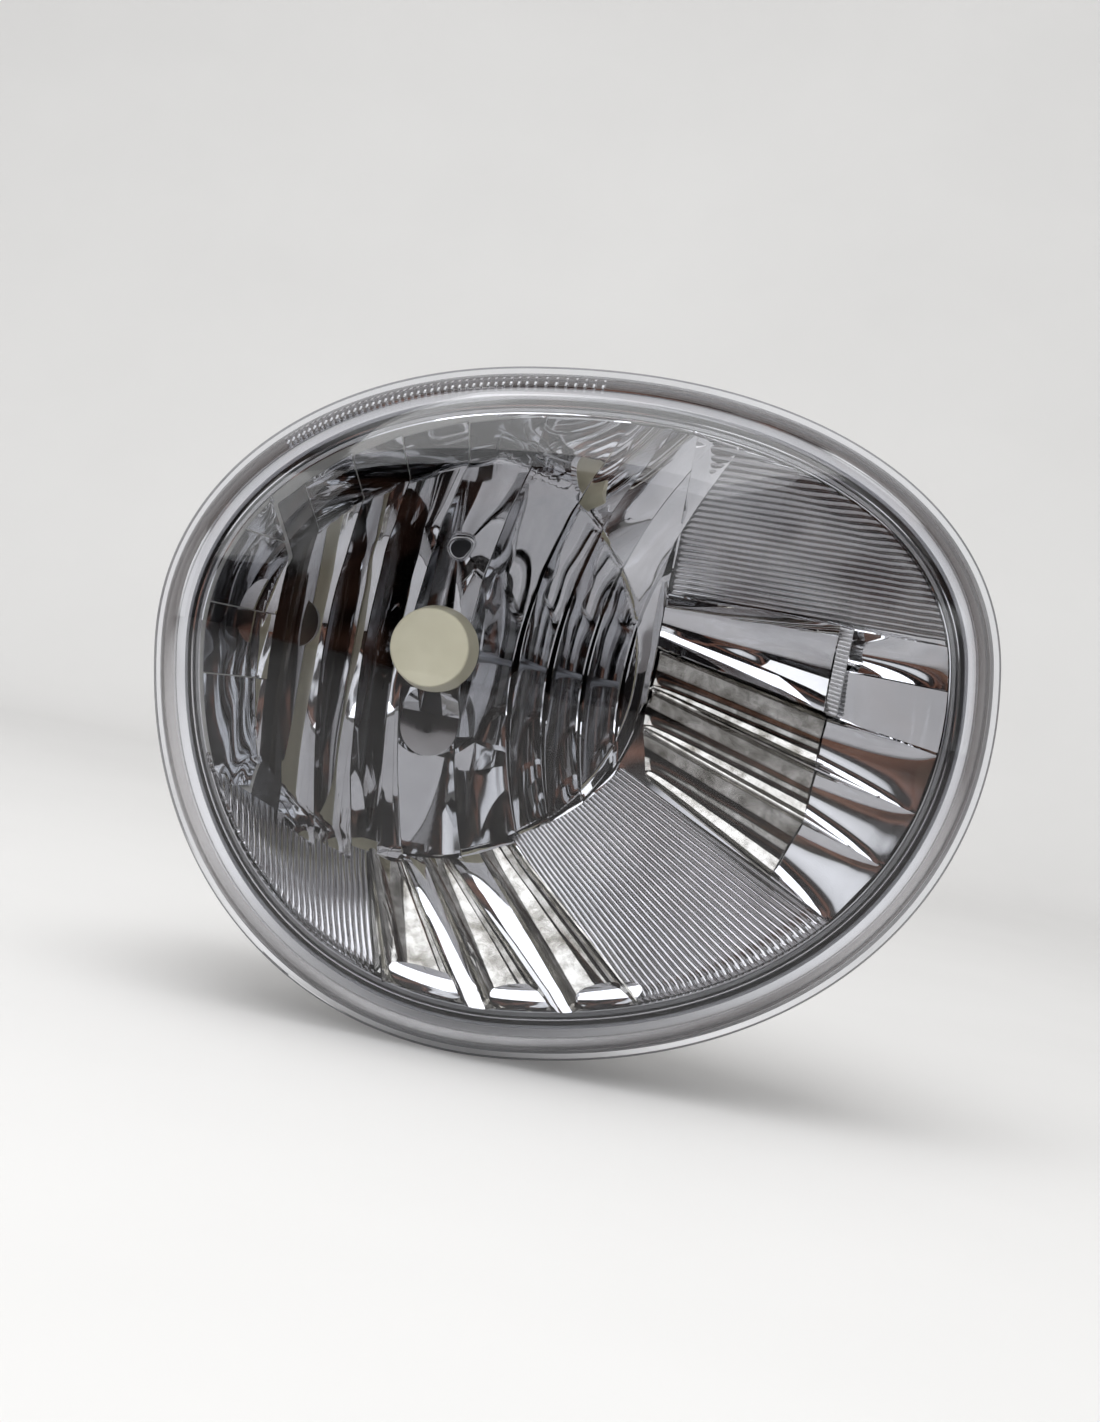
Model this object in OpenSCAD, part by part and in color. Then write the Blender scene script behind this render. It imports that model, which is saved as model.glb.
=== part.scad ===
// Egg-shaped car headlight with a tilting reflector, a twist-lock bulb and a rear aim adjuster.
// Each part is drawn looking into the lens: X across, Y up, Z forward from the mounting plane.
// The module in_car() then stands it up, with the lens facing -Y and +Z up.

/* [Outline] */
// Outline half width on the +X side
half_right = 97.5; // [75:0.5:125]
// Outline half width on the -X side
half_left = 81.5; // [66:0.5:105]
// Outline half height above its widest line
half_up = 62.5; // [51:0.5:85]
// Outline half height below its widest line
half_down = 84; // [66:0.5:110]
// How square the outline is, where 2 is an ellipse
outline_power = 2.15; // [2:0.05:2.5]
// Turn of the outline, in degrees
outline_turn = 9; // [-20:1:20]
// Outline centre across from the optical axis
outline_x = 25; // [10:0.5:35]
// Outline centre above the optical axis
outline_y = 1; // [-8:0.5:8]

/* [Depth] */
// Mounting plane to the front of the housing's rim
rim_front = 73.5; // [62:0.5:90]
// Height of the lens above the housing's rim
lens_height = 30.5; // [22:0.5:40]
// Mounting plane to the housing's back plate
back_plate = 12; // [9:0.5:15]

/* [Lens] */
// Wall of the lens
lens_wall = 2.6; // [1.8:0.1:4]
// Thickness of the lens flange
flange_thick = 2.8; // [2:0.1:4]
// Flange reach outside the housing's rim
flange_reach = 5.5; // [3:0.1:8]

/* [Housing] */
// Wall of the housing
wall = 2.4; // [1.6:0.1:3.6]
// Wall on each side of the glue groove
groove_wall = 1; // [0.8:0.1:1.6]
// Width of the glue groove
groove_width = 2.4; // [2:0.1:3.5]
// Depth of the glue groove
groove_depth = 5.5; // [4:0.1:7]
// Radius of the housing's round back
back_radius = 44; // [42:0.5:50]
// Radius of the bulb opening in the back plate
neck_radius = 28.4; // [25:0.1:30]
// Pitch circle of the mounting bosses
boss_pcd = 104; // [100:0.5:112]
// Radius of a mounting boss
boss_radius = 7; // [6:0.1:9]
// Radius of the bolt hole in a mounting insert
bolt_radius = 3; // [2:0.1:3.2]

/* [Reflector] */
// Focal length of the bowl
focal_length = 16; // [14:0.5:20]
// Radius of the bowl
bowl_radius = 46; // [40:0.5:52]
// Mounting plane to the bottom of the bowl
bowl_bottom = 20; // [18:0.5:24]
// Wall of the reflector
reflector_wall = 2.2; // [1.6:0.1:3]
// Width of the reflector's flat border
border_width = 4; // [3:0.1:6]
// Gap round the reflector's border for its tilt
border_gap = 2.3; // [2.3:0.1:4]
// Radius of the reflector's bulb hole
bulb_hole = 11; // [10.8:0.1:12]

/* [Aim] */
// Height of the adjuster below the optical axis
aim_drop = 52; // [48:0.5:56]
// Adjuster across from the optical axis
aim_side = 30; // [26:0.5:34]
// Pivot ball radius
ball_radius = 3; // [2.6:0.1:3.2]
// Left pivot from the optical axis
pivot_left = 35; // [34:0.5:36]
// Right pivot from the optical axis
pivot_right = 50; // [46:0.5:51]
// Radius of the adjuster screw's shank
shank_radius = 3; // [2.6:0.1:3.4]
// Radius of the adjuster screw's thread
thread_radius = 2.5; // [2:0.1:2.5]

/* [Bulb] */
// Radius of the bulb holder's barrel
barrel_radius = 10.4; // [9.5:0.1:10.6]
// Radius of the bulb's glass
glass_radius = 6; // [5:0.1:7]
// Radius of the shield in front of the bulb
shield_radius = 10.2; // [9:0.1:12]
// Width of the shield's stay
stay_width = 13.4; // [11:0.1:15]
// Width of the plug socket
socket_width = 16; // [14:0.1:16]
// Height of the plug socket
socket_height = 10; // [8:0.1:10]

/* [Hidden] */
$fn = 64;

outline_steps = 60;      // points round each outline
running_gap = 0.1;       // radial gap of a part that turns in its bore
loose_gap = 0.3;         // gap between parts that move past each other
overlap = 0.5;           // how far a fused feature reaches into its neighbour

// Housing rim, from the outside in
rim_outside = -flange_reach;
groove_outside = rim_outside - groove_wall;
groove_inside = groove_outside - groove_width;
rim_inside = groove_inside - groove_wall;
groove_floor = rim_front - groove_depth;
rim_back = groove_floor - 2;
shell_round = min(54, rim_back - back_plate); // depth over which the shell rounds in

// Lens, whose tongue stands in the groove on a bead of sealant
seal_height = 1.2;
tongue_gap = 0.3;
tongue_outside = groove_outside - tongue_gap;
tongue_inside = groove_inside + tongue_gap;
tongue_tip = groove_floor + seal_height;
flange_back = rim_front + 0.5;
flange_front = flange_back + flange_thick;
lens_top = rim_front + lens_height;
lens_skirt = -2.2;

// Bosses of the housing
insert_radius = bolt_radius + 1.5;
insert_length = 14;
boss_front = 33;

// Reflector
border_outside = tongue_inside - border_gap;
border_front = rim_front + 5.5;
apron_top = border_front - 3;
neck_outside = 20;
neck_back = back_plate;
shell_hole = bulb_hole - 2;
seat_depth = 2.6;
seat_radius = bulb_hole + 3.5;
ring_thick = 1;
ring_screw_angles = [30, 150, 270];
ring_screw_circle = 17.4;
ring_screw_radius = 1;

// Pivots
pivot_depth = 28;
socket_wall = 1.5;
socket_radius = ball_radius + socket_wall;
socket_back = pivot_depth - 2.8;
socket_front = pivot_depth + ball_radius + 0.8;
post_radius = socket_radius + 1.6;
stud_radius = 2;
stud_foot = back_plate + 1.5;
stud_engagement = 8;

// Aim adjuster
nut_depth = 46;
nut_size = 9;
trunnion_radius = 2;
slot_travel = 1.2;
yoke_cheek = 2.5;
yoke_reach = 5.5;
yoke_half = nut_size / 2 + loose_gap + yoke_cheek;
yoke_base = nut_depth + nut_size / 2 + 1;
yoke_seat = yoke_base + 2.5;
tip_gap = 1.6;
bush_wall = 2.5;
bush_radius = shank_radius + running_gap / 2 + bush_wall;
tube_radius = bush_radius + 2;
tube_back = 16;
tube_front = 36;
screw_tip = nut_depth + 7;
seal_wire = 0.8;
seal_depth = tube_back + 6;

// Breather
vent_radius = 4;
vent_bore = 2.2;
vent_x = 62;
vent_y = 14;
vent_back = 12;
vent_turn = 9;

// Bulb
lug_radius = seat_radius - 0.7;
lug_thick = 2;
lug_back = neck_back + 0.3;
lug_count = 3;
lug_angle = 34;
lug_unlock = 40;
glass_tip = bowl_bottom + focal_length + 8;
barrel_back = -9;
holder_wall = 2;
socket_depth = 14;
holder_back = barrel_back - socket_depth - 5;
o_ring_wire = 0.9;
collar_front = neck_back - ring_thick - running_gap - 2 * o_ring_wire;
shield_front = 56;
shield_length = 14;
shield_thick = 0.7;
shield_back = shield_front - shield_length;
shield_taper = 1.4;
cover_thick = 0.5;
stay_thick = 1;
stay_foot = 25;
stay_bend = -14.6;
slot_width = 5.4;
slot_height = 5.4;
rivet_drop = 18.6;
rivet_radius = 1.8;
rivet_back = bowl_bottom + 1.5;

// Boot
boot_thick = 2;
neck_thick = 2.6;
neck_back_end = 3;
boot_gap = 1.6;
lip_end = barrel_back + 2.8;

// ---------- outlines and skins ----------

function signed_power(v, p) = sign(v) * pow(abs(v), p);

// A point of the lamp's outline, with its half widths grown by grow
function outline_at(t, grow) =
    let (
        c = cos(t),
        s = sin(t),
        x = ((c > 0 ? half_right : half_left) + grow) * signed_power(c, 2 / outline_power),
        y = ((s > 0 ? half_up : half_down) + grow) * signed_power(s, 2 / outline_power)
    )
    [
        outline_x + x * cos(outline_turn) - y * sin(outline_turn),
        outline_y + x * sin(outline_turn) + y * cos(outline_turn)
    ];

function step_angle(i) = i * 360 / outline_steps;

function outline(grow) = [for (i = [0 : outline_steps - 1]) outline_at(step_angle(i), grow)];

function round_at(t, r) = [r * cos(t + outline_turn), r * sin(t + outline_turn)];

// A ring at depth d, from the outline (share 0) to a circle round the optical axis (share 1)
function blend_ring(d, grow, share, r) = [
    for (i = [0 : outline_steps - 1])
        let (p = (1 - share) * outline_at(step_angle(i), grow) + share * round_at(step_angle(i), r))
        [p.x, p.y, d]
];

function outline_ring(grow, d) = blend_ring(d, grow, 0, 0);

// A ring of the outline shrunk towards its own centre
function shrunk_ring(grow, size, d) = [
    for (p = outline(grow))
        [outline_x + (p.x - outline_x) * size, outline_y + (p.y - outline_y) * size, d]
];

// A solid over a run of rings: joined into a loop, or with a cap at each end
module skin(rings, loop = false) {
    n = len(rings[0]);
    m = len(rings);
    sides = [
        for (i = [0 : loop ? m - 1 : m - 2], k = [0 : n - 1])
            let (j = (i + 1) % m, l = (k + 1) % n)
            each [[i * n + k, j * n + k, j * n + l], [i * n + k, j * n + l, i * n + l]]
    ];
    caps = loop ? [] : [[for (k = [0 : n - 1]) k], [for (k = [n - 1 : -1 : 0]) (m - 1) * n + k]];
    polyhedron([for (r = rings) each r], concat(sides, caps), convexity = 8);
}

module in_car() { rotate([90, 0, 0]) children(); }

module outline_band(outside, inside, back, front) {
    translate([0, 0, back])
        linear_extrude(front - back)
            difference() {
                polygon(outline(outside));
                polygon(outline(inside));
            }
}

module tube(outer, inner, back, front) {
    translate([0, 0, back])
        rotate_extrude()
            translate([inner, 0]) square([outer - inner, front - back]);
}

module rod(r, back, front) { translate([0, 0, back]) cylinder(h = front - back, r = r); }

module at_bosses() {
    for (a = [90, 210, 330]) rotate(a) translate([boss_pcd / 2, 0]) children();
}

module at_pivots() {
    for (x = [-pivot_left, pivot_right]) translate([x, 0]) children();
}

module at_ring_screws() {
    for (a = ring_screw_angles) rotate(a) translate([ring_screw_circle, 0]) children();
}

module at_adjuster() { translate([aim_side, -aim_drop]) children(); }

module at_vent() { translate([vent_x, vent_y]) children(); }

// ---------- housing, lens and seal ----------

// Depth and roundness of the housing's shell, from its rim to its back
shell_stations = [[0, 0], [0.18, 0.02], [0.37, 0.12], [0.55, 0.34], [0.74, 0.66], [0.88, 0.9], [1, 1]];

function shell_depth(share) = share == 0 ? rim_back : back_plate + shell_round * (1 - share);

module housing_shell() {
    outer = [
        for (s = [len(shell_stations) - 1 : -1 : 0])
            let (q = shell_stations[s])
            blend_ring(shell_depth(q[0]), rim_outside, q[1], back_radius)
    ];
    inner = [
        for (q = shell_stations)
            blend_ring(shell_depth(q[0]) + wall * q[1], rim_outside - wall, q[1], back_radius - wall)
    ];
    rim = [
        outline_ring(rim_outside, rim_front),
        outline_ring(groove_outside, rim_front),
        outline_ring(groove_outside, groove_floor),
        outline_ring(groove_inside, groove_floor),
        outline_ring(groove_inside, rim_front),
        outline_ring(rim_inside, rim_front),
        outline_ring(rim_inside, rim_back + 1)
    ];
    skin(concat(outer, rim, inner), loop = true);
}

module housing() {
    color([0.42, 0.42, 0.43])
    in_car()
    difference() {
        union() {
            housing_shell();
            tube(back_radius - overlap, neck_radius, back_plate, back_plate + wall);
            tube(neck_radius + neck_thick, neck_radius, neck_back_end, back_plate + wall);
            at_bosses() rod(boss_radius, 0, boss_front);
            at_adjuster() rod(tube_radius, tube_back, tube_front);
            at_pivots() rod(stud_radius + 2.5, back_plate, stud_foot + stud_engagement);
            at_vent() rod(vent_radius, vent_back, vent_back + 14);
        }
        at_bosses() rod(insert_radius, -1, insert_length);
        at_adjuster() rod(bush_radius, tube_back - 1, tube_front + 1);
        at_pivots() rod(stud_radius, stud_foot, pivot_depth);
        at_vent() rod(vent_bore, vent_back - 1, vent_back + 20);
    }
}

module mounting_inserts() {
    color([0.78, 0.62, 0.3])
    in_car()
    at_bosses() tube(insert_radius, bolt_radius, 0, insert_length);
}

// Share of the lens's height and size of each ring over its dome
dome_stations = [[0.77, 0.86], [0.86, 0.7], [0.94, 0.46], [0.985, 0.22], [1, 0.04]];
// Inset and share of height of each ring up its side
side_stations = [[0, 0.16], [1, 0.34], [3.2, 0.5], [8, 0.63]];

module lens() {
    color([0.92, 0.95, 0.97, 0.35])
    in_car() {
        outside = concat(
            [for (s = side_stations) outline_ring(lens_skirt - s[0], rim_front + lens_height * s[1])],
            [for (s = dome_stations) shrunk_ring(lens_skirt - 8, s[1], rim_front + lens_height * s[0])]
        );
        inside = concat(
            [for (s = side_stations)
                outline_ring(lens_skirt - lens_wall - s[0] * 1.05,
                    max(flange_front + 0.6, rim_front + lens_height * s[1] - lens_wall * (0.2 + s[0] / 12)))],
            [for (s = dome_stations)
                shrunk_ring(lens_skirt - lens_wall - 8, s[1], rim_front + lens_height * s[0] - lens_wall)]
        );
        n = len(inside);
        flange = [
            outline_ring(tongue_inside, flange_front),
            outline_ring(tongue_inside, tongue_tip),
            outline_ring(tongue_outside, tongue_tip),
            outline_ring(tongue_outside, flange_back),
            outline_ring(0, flange_back),
            outline_ring(0, flange_front)
        ];
        skin(concat([for (i = [n - 1 : -1 : 0]) inside[i]], flange, outside));
    }
}

module lens_seal() {
    color([0.12, 0.12, 0.13])
    in_car()
    outline_band(groove_outside, groove_inside, groove_floor, tongue_tip);
}

// ---------- breather ----------

module breather_elbow() {
    color([0.1, 0.1, 0.1])
    in_car()
    at_vent()
    difference() {
        union() {
            rod(vent_radius + 2, vent_turn, vent_back + 6);
            translate([0, 0, vent_turn]) sphere(r = vent_radius + 2);
            translate([0, 0, vent_turn]) rotate([90, 0, 0]) rod(vent_radius + 1.2, 0, 15);
        }
        rod(vent_radius, vent_back, vent_back + 7);
        rod(vent_bore, vent_turn, vent_back + 1);
        translate([0, 0, vent_turn]) sphere(r = vent_bore);
        translate([0, 0, vent_turn]) rotate([90, 0, 0]) rod(vent_bore, 0, 20);
    }
}

// ---------- reflector ----------

function bowl_depth(r) = bowl_bottom + r * r / (4 * focal_length);

// The reflector's front from the border to the bulb hole, as [radius, depth] in one direction
function front_profile(reach) =
    let (
        inner_edge = reach - border_width,
        edge = min(bowl_radius, inner_edge - 2),
        apron = [inner_edge - 0.6, apron_top],
        foot = [edge, bowl_depth(edge)]
    )
    concat(
        [[reach, border_front], [inner_edge, border_front - 1], apron, (apron + foot) / 2],
        [for (s = [0 : 5]) let (r = edge + (shell_hole - edge) * s / 5) [r, bowl_depth(r)]]
    );

// The unit normal to the back between two points of a front profile
function back_normal(outer, inner) = let (s = outer - inner) [s.y, -s.x] / norm(s);

// A point of a front profile sunk into the wall by depth, square to the surface
function sunk_point(front, i, depth) =
    let (
        last = len(front) - 1,
        a = i == 0 ? back_normal(front[0], front[1]) : back_normal(front[i - 1], front[i]),
        b = i == last ? a : back_normal(front[i], front[i + 1]),
        n = (a + b) / norm(a + b)
    )
    i == 0 ? front[0] - [0, depth] : front[i] + n * depth / max(0.6, n * a);

// The reflector's surface at one depth in its wall, as rings from the bulb hole to the border
function reflector_rings(depth) =
    let (
        ways = [for (p = outline(border_outside)) p / norm(p)],
        fronts = [for (p = outline(border_outside)) front_profile(norm(p))]
    )
    [
        for (k = [len(fronts[0]) - 1 : -1 : 0])
            [for (i = [0 : outline_steps - 1])
                let (q = sunk_point(fronts[i], k, depth)) [ways[i].x * q.x, ways[i].y * q.x, q.y]]
    ];

module reflector_shell() {
    front = reflector_rings(0);
    skin(
        concat(reflector_rings(reflector_wall), [for (k = [len(front) - 1 : -1 : 0]) front[k]]),
        loop = true
    );
}

// Everything in front of the middle of the reflector's wall, in which no fixing may stand
module reflector_front() {
    skin(concat(reflector_rings(reflector_wall / 2), [outline_ring(border_outside, lens_top)]));
}

module reflector() {
    color([0.86, 0.87, 0.88])
    in_car()
    difference() {
        union() {
            reflector_shell();
            difference() {
                union() {
                    rod(neck_outside, neck_back, bowl_bottom + 3);
                    at_pivots() rod(post_radius, socket_back, apron_top);
                    at_adjuster() translate([-yoke_half, -yoke_reach, yoke_seat])
                        cube([2 * yoke_half, 2 * yoke_reach, apron_top - yoke_seat - 1]);
                }
                reflector_front();
            }
        }
        at_pivots() rod(socket_radius, socket_back - 1, socket_front);
        at_adjuster() rod(thread_radius + tip_gap, yoke_seat - 1, screw_tip + 3);
        rod(bulb_hole, neck_back - 1, bowl_bottom + 4);
        rod(seat_radius, neck_back - 1, neck_back + seat_depth);
        at_ring_screws() rod(ring_screw_radius, neck_back - 1, neck_back + 6);
        translate([0, -rivet_drop]) rod(rivet_radius, rivet_back, bowl_bottom + 14);
    }
}

// ---------- fixings on the back of the reflector ----------

module pivot_socket(x) {
    color([0.93, 0.93, 0.9])
    in_car()
    translate([x, 0])
        difference() {
            rod(socket_radius, socket_back, socket_front);
            translate([0, 0, pivot_depth]) sphere(r = ball_radius + running_gap);
            rod(ball_radius - 0.4, socket_back - 1, pivot_depth);
        }
}

module pivot_socket_left() { pivot_socket(-pivot_left); }
module pivot_socket_right() { pivot_socket(pivot_right); }

module pivot_stud(x) {
    color([0.7, 0.71, 0.73])
    in_car()
    translate([x, 0]) {
        translate([0, 0, pivot_depth]) sphere(r = ball_radius);
        rod(stud_radius, stud_foot, pivot_depth);
    }
}

module pivot_stud_left() { pivot_stud(-pivot_left); }
module pivot_stud_right() { pivot_stud(pivot_right); }

module adjuster_yoke() {
    slot_height = 2 * (trunnion_radius + running_gap);
    yoke_back = nut_depth - yoke_reach;
    color([0.93, 0.93, 0.9])
    in_car()
    at_adjuster()
        difference() {
            translate([-yoke_half, -yoke_reach, yoke_back])
                cube([2 * yoke_half, 2 * yoke_reach, yoke_seat - yoke_back]);
            translate([-yoke_half + yoke_cheek, -yoke_reach - 1, yoke_back - 1])
                cube([2 * (yoke_half - yoke_cheek), 2 * yoke_reach + 2, yoke_base - yoke_back + 1]);
            rod(thread_radius + tip_gap, yoke_base - 1, yoke_seat + 1);
            for (y = [-slot_travel, slot_travel])
                translate([-20, y, nut_depth]) rotate([0, 90, 0]) cylinder(h = 40, r = slot_height / 2);
            translate([-20, -slot_travel, nut_depth - slot_height / 2])
                cube([40, 2 * slot_travel, slot_height]);
        }
}

module bulb_ring() {
    notch = lug_angle + 4;
    room = lug_radius + 0.4 - barrel_radius;
    color([0.75, 0.76, 0.78])
    in_car()
    difference() {
        tube(neck_outside, barrel_radius + 0.5, neck_back - ring_thick, neck_back);
        for (i = [0 : lug_count - 1])
            rotate(i * 360 / lug_count - lug_unlock - notch / 2)
                translate([0, 0, neck_back - ring_thick - 1])
                    rotate_extrude(angle = notch)
                        translate([barrel_radius, 0]) square([room, ring_thick + 2]);
        at_ring_screws() rod(ring_screw_radius + loose_gap, 0, 20);
    }
}

module bulb_ring_screws() {
    ring_back = neck_back - ring_thick;
    head_back = ring_back - 1.6;
    color([0.72, 0.72, 0.74])
    in_car()
    at_ring_screws()
        difference() {
            union() {
                rod(ring_screw_radius, ring_back - 0.5, neck_back + 5);
                rod(ring_screw_radius + 1.2, head_back, ring_back);
            }
            for (q = [0, 90]) rotate(q) translate([0, 0, head_back]) cube([2.6, 0.6, 1.4], center = true);
        }
}

// ---------- shield ----------

// Outside radius of the shield's cup at depth d
function cup_radius(d) = shield_radius - cover_thick - shield_taper * (d - shield_back) / shield_length;

// The stay's outline from the front: straight sides and a round foot
module stay_outline() {
    r = stay_width / 2;
    translate([-r, r - stay_foot]) square([stay_width, stay_foot]);
    translate([0, r - stay_foot]) circle(r = r);
}

// The bent strip that carries the cup, drawn from its side
module stay_strip() {
    foot_back = bowl_depth(stay_foot) + 0.3;
    foot_front = foot_back + stay_thick;
    translate([-stay_width / 2, 0, 0])
        rotate([90, 0, 90])
            linear_extrude(stay_width)
                polygon([
                    [-6, shield_back + stay_thick], [-6, shield_back], [-9, shield_back],
                    [stay_bend, foot_back], [-stay_foot, foot_back], [-stay_foot, foot_front],
                    [stay_bend - 0.4, foot_front], [-9.6, shield_back + stay_thick]
                ]);
}

module bulb_shield() {
    back_radius = cup_radius(shield_back);
    front_radius = cup_radius(shield_front);
    inner_front = shield_front - shield_thick;
    color([0.82, 0.83, 0.84])
    in_car()
    difference() {
        union() {
            rotate_extrude()
                polygon([
                    [back_radius, shield_back], [front_radius, shield_front],
                    [0, shield_front], [0, inner_front], [back_radius - 2, shield_back]
                ]);
            intersection() {
                stay_strip();
                translate([0, 0, bowl_bottom]) linear_extrude(shield_front - bowl_bottom) stay_outline();
            }
        }
        rotate_extrude()
            polygon([
                [0, shield_back - 4], [back_radius - shield_thick, shield_back - 4],
                [back_radius - shield_thick, shield_back], [front_radius - shield_thick, inner_front],
                [0, inner_front]
            ]);
        translate([0, -rivet_drop]) rod(rivet_radius, bowl_bottom, shield_back);
        translate([-slot_width / 2, stay_bend - 0.4, bowl_bottom])
            cube([slot_width, slot_height, shield_back]);
    }
}

module shield_rivet() {
    foot_front = bowl_depth(stay_foot) + 0.3 + stay_thick;
    color([0.8, 0.8, 0.82])
    in_car()
    translate([0, -rivet_drop])
        difference() {
            union() {
                rod(rivet_radius, rivet_back, foot_front + 0.4);
                rod(rivet_radius + 0.9, foot_front, foot_front + 0.6);
            }
            rod(1.1, 0, 60);
        }
}

module shield_cover() {
    back = shield_back + 3.2;
    back_radius = cup_radius(back);
    front_radius = cup_radius(shield_front);
    color([0.8, 0.76, 0.64])
    in_car()
    rotate_extrude()
        polygon([
            [back_radius, back], [front_radius, shield_front],
            [0, shield_front], [0, shield_front + cover_thick],
            [front_radius + cover_thick * 0.4, shield_front + cover_thick],
            [front_radius + cover_thick, shield_front + cover_thick * 0.4],
            [back_radius + cover_thick, back]
        ]);
}

// ---------- bulb ----------

module bulb_glass() {
    tip = glass_tip;
    color([0.9, 0.93, 0.95, 0.35])
    in_car()
    difference() {
        union() {
            rod(glass_radius, lug_back + lug_thick, tip - glass_radius);
            translate([0, 0, tip - glass_radius]) sphere(r = glass_radius);
        }
        rod(glass_radius - 0.8, lug_back + lug_thick + 3, tip - glass_radius);
        translate([0, 0, tip - glass_radius]) sphere(r = glass_radius - 0.8);
    }
}

filament_depth = bowl_bottom + focal_length;

module bulb_filament() {
    color([0.55, 0.55, 0.58])
    in_car()
    translate([0, 0, filament_depth - 2.5])
        difference() {
            cylinder(h = 5, r = 0.9);
            translate([0, 0, -1]) cylinder(h = 7, r = 0.5);
        }
}

module bulb_leads() {
    foot = lug_back + lug_thick + 3;
    color([0.7, 0.7, 0.72])
    in_car() {
        translate([0.7, 0]) rod(0.3, foot, filament_depth - 2.5);
        translate([-2.4, 0]) rod(0.3, foot, filament_depth + 2.8);
        translate([-2.4, 0, filament_depth + 2.8]) rotate([0, 90, 0]) cylinder(h = 3, r = 0.3);
    }
}

module bulb_cap() {
    color([0.74, 0.75, 0.77])
    in_car()
    tube(glass_radius + 0.8, glass_radius, lug_back + lug_thick, bowl_bottom + 1);
}

module bulb_holder() {
    w = socket_width + 2 * holder_wall;
    h = socket_height + 2 * holder_wall;
    lug_reach = lug_radius - barrel_radius;
    color([0.13, 0.13, 0.14])
    in_car()
    difference() {
        union() {
            rod(barrel_radius, barrel_back, lug_back + lug_thick);
            rod(barrel_radius + 3, collar_front - 2, collar_front);
            for (i = [0 : lug_count - 1])
                rotate(i * 360 / lug_count - lug_angle / 2)
                    translate([0, 0, lug_back])
                        rotate_extrude(angle = lug_angle)
                            translate([barrel_radius - 1, 0]) square([lug_reach + 1, lug_thick]);
            translate([-w / 2, -h / 2, holder_back]) cube([w, h, barrel_back - holder_back + 1]);
            translate([-3, h / 2 - 0.1, holder_back + 3]) cube([6, 1.6, 5]);
        }
        translate([-socket_width / 2, -socket_height / 2, holder_back - 1])
            cube([socket_width, socket_height, socket_depth + 1]);
        for (x = [-4, 4]) translate([x - 1.4, -0.4, holder_back + socket_depth - 1]) cube([2.8, 0.8, 5]);
    }
}

module bulb_terminals() {
    color([0.8, 0.72, 0.45])
    in_car()
    for (x = [-4, 4])
        translate([x - 1.4, -0.4, holder_back + 6]) cube([2.8, 0.8, socket_depth - 2]);
}

module bulb_o_ring() {
    color([0.5, 0.16, 0.1])
    in_car()
    translate([0, 0, collar_front + o_ring_wire])
        rotate_extrude() translate([barrel_radius + o_ring_wire + 0.4, 0]) circle(r = o_ring_wire);
}

module bulb_boot() {
    neck = neck_radius + neck_thick;
    lip = barrel_radius + boot_gap;
    t = boot_thick;
    color([0.08, 0.08, 0.08])
    in_car()
    rotate_extrude()
        polygon([
            [neck, back_plate - 1.5], [neck, neck_back_end], [neck - 4, neck_back_end],
            [neck - 6.5, neck_back_end + 3.5], [neck - 8.5, neck_back_end + 3.5],
            [lip + 3, -2], [lip, -3], [lip, lip_end], [lip + t, lip_end], [lip + t, -4.5],
            [lip + t + 2.5, -4],
            [neck - 8, neck_back_end + 1], [neck - 7, neck_back_end + 1],
            [neck - 4.6, neck_back_end - t - 0.1], [neck + t, neck_back_end - t - 0.1],
            [neck + t, back_plate - 1.5]
        ]);
}

// ---------- aim adjuster ----------

module adjuster_bush() {
    color([0.92, 0.92, 0.88])
    in_car()
    at_adjuster()
        difference() {
            union() {
                tube(bush_radius, shank_radius + running_gap / 2, tube_back, tube_front);
                tube(tube_radius, shank_radius + running_gap / 2, tube_back - 1.5, tube_back);
            }
            tube(bush_radius + 1, bush_radius - 2 * seal_wire, seal_depth - 1, seal_depth + 1);
        }
}

module adjuster_screw() {
    color([0.74, 0.7, 0.56])
    in_car()
    at_adjuster() {
        rod(shank_radius, tube_back - 8, tube_front + 2.2);
        rod(thread_radius, tube_front + 2, screw_tip);
    }
}

module adjuster_knob() {
    back = tube_back - 9;
    front = tube_back - 1.5 - loose_gap;
    teeth = 12;
    color([0.93, 0.93, 0.9])
    in_car()
    at_adjuster()
        difference() {
            rod(8, back, front);
            rod(shank_radius, tube_back - 8, front + 1);
            for (i = [0 : teeth - 1])
                rotate(i * 360 / teeth) translate([8.6, 0]) rod(1.4, back - 1, front - 2);
            translate([0, 0, back]) cylinder(h = 4, r = 3.2, $fn = 6, center = true);
        }
}

module adjuster_clip() {
    color([0.6, 0.6, 0.62])
    in_car()
    at_adjuster() tube(shank_radius + 2, shank_radius, tube_front + loose_gap, tube_front + 1.3);
}

module adjuster_seal() {
    color([0.1, 0.1, 0.1])
    in_car()
    at_adjuster()
        translate([0, 0, seal_depth])
            rotate_extrude() translate([bush_radius - seal_wire, 0]) circle(r = seal_wire);
}

module adjuster_nut() {
    color([0.92, 0.92, 0.88])
    in_car()
    translate([aim_side, -aim_drop, nut_depth])
        difference() {
            union() {
                cube([nut_size, nut_size, nut_size], center = true);
                rotate([0, 90, 0])
                    cylinder(h = nut_size + 2 * (loose_gap + yoke_cheek), r = trunnion_radius, center = true);
            }
            cylinder(h = 20, r = thread_radius + running_gap, center = true);
        }
}

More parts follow.
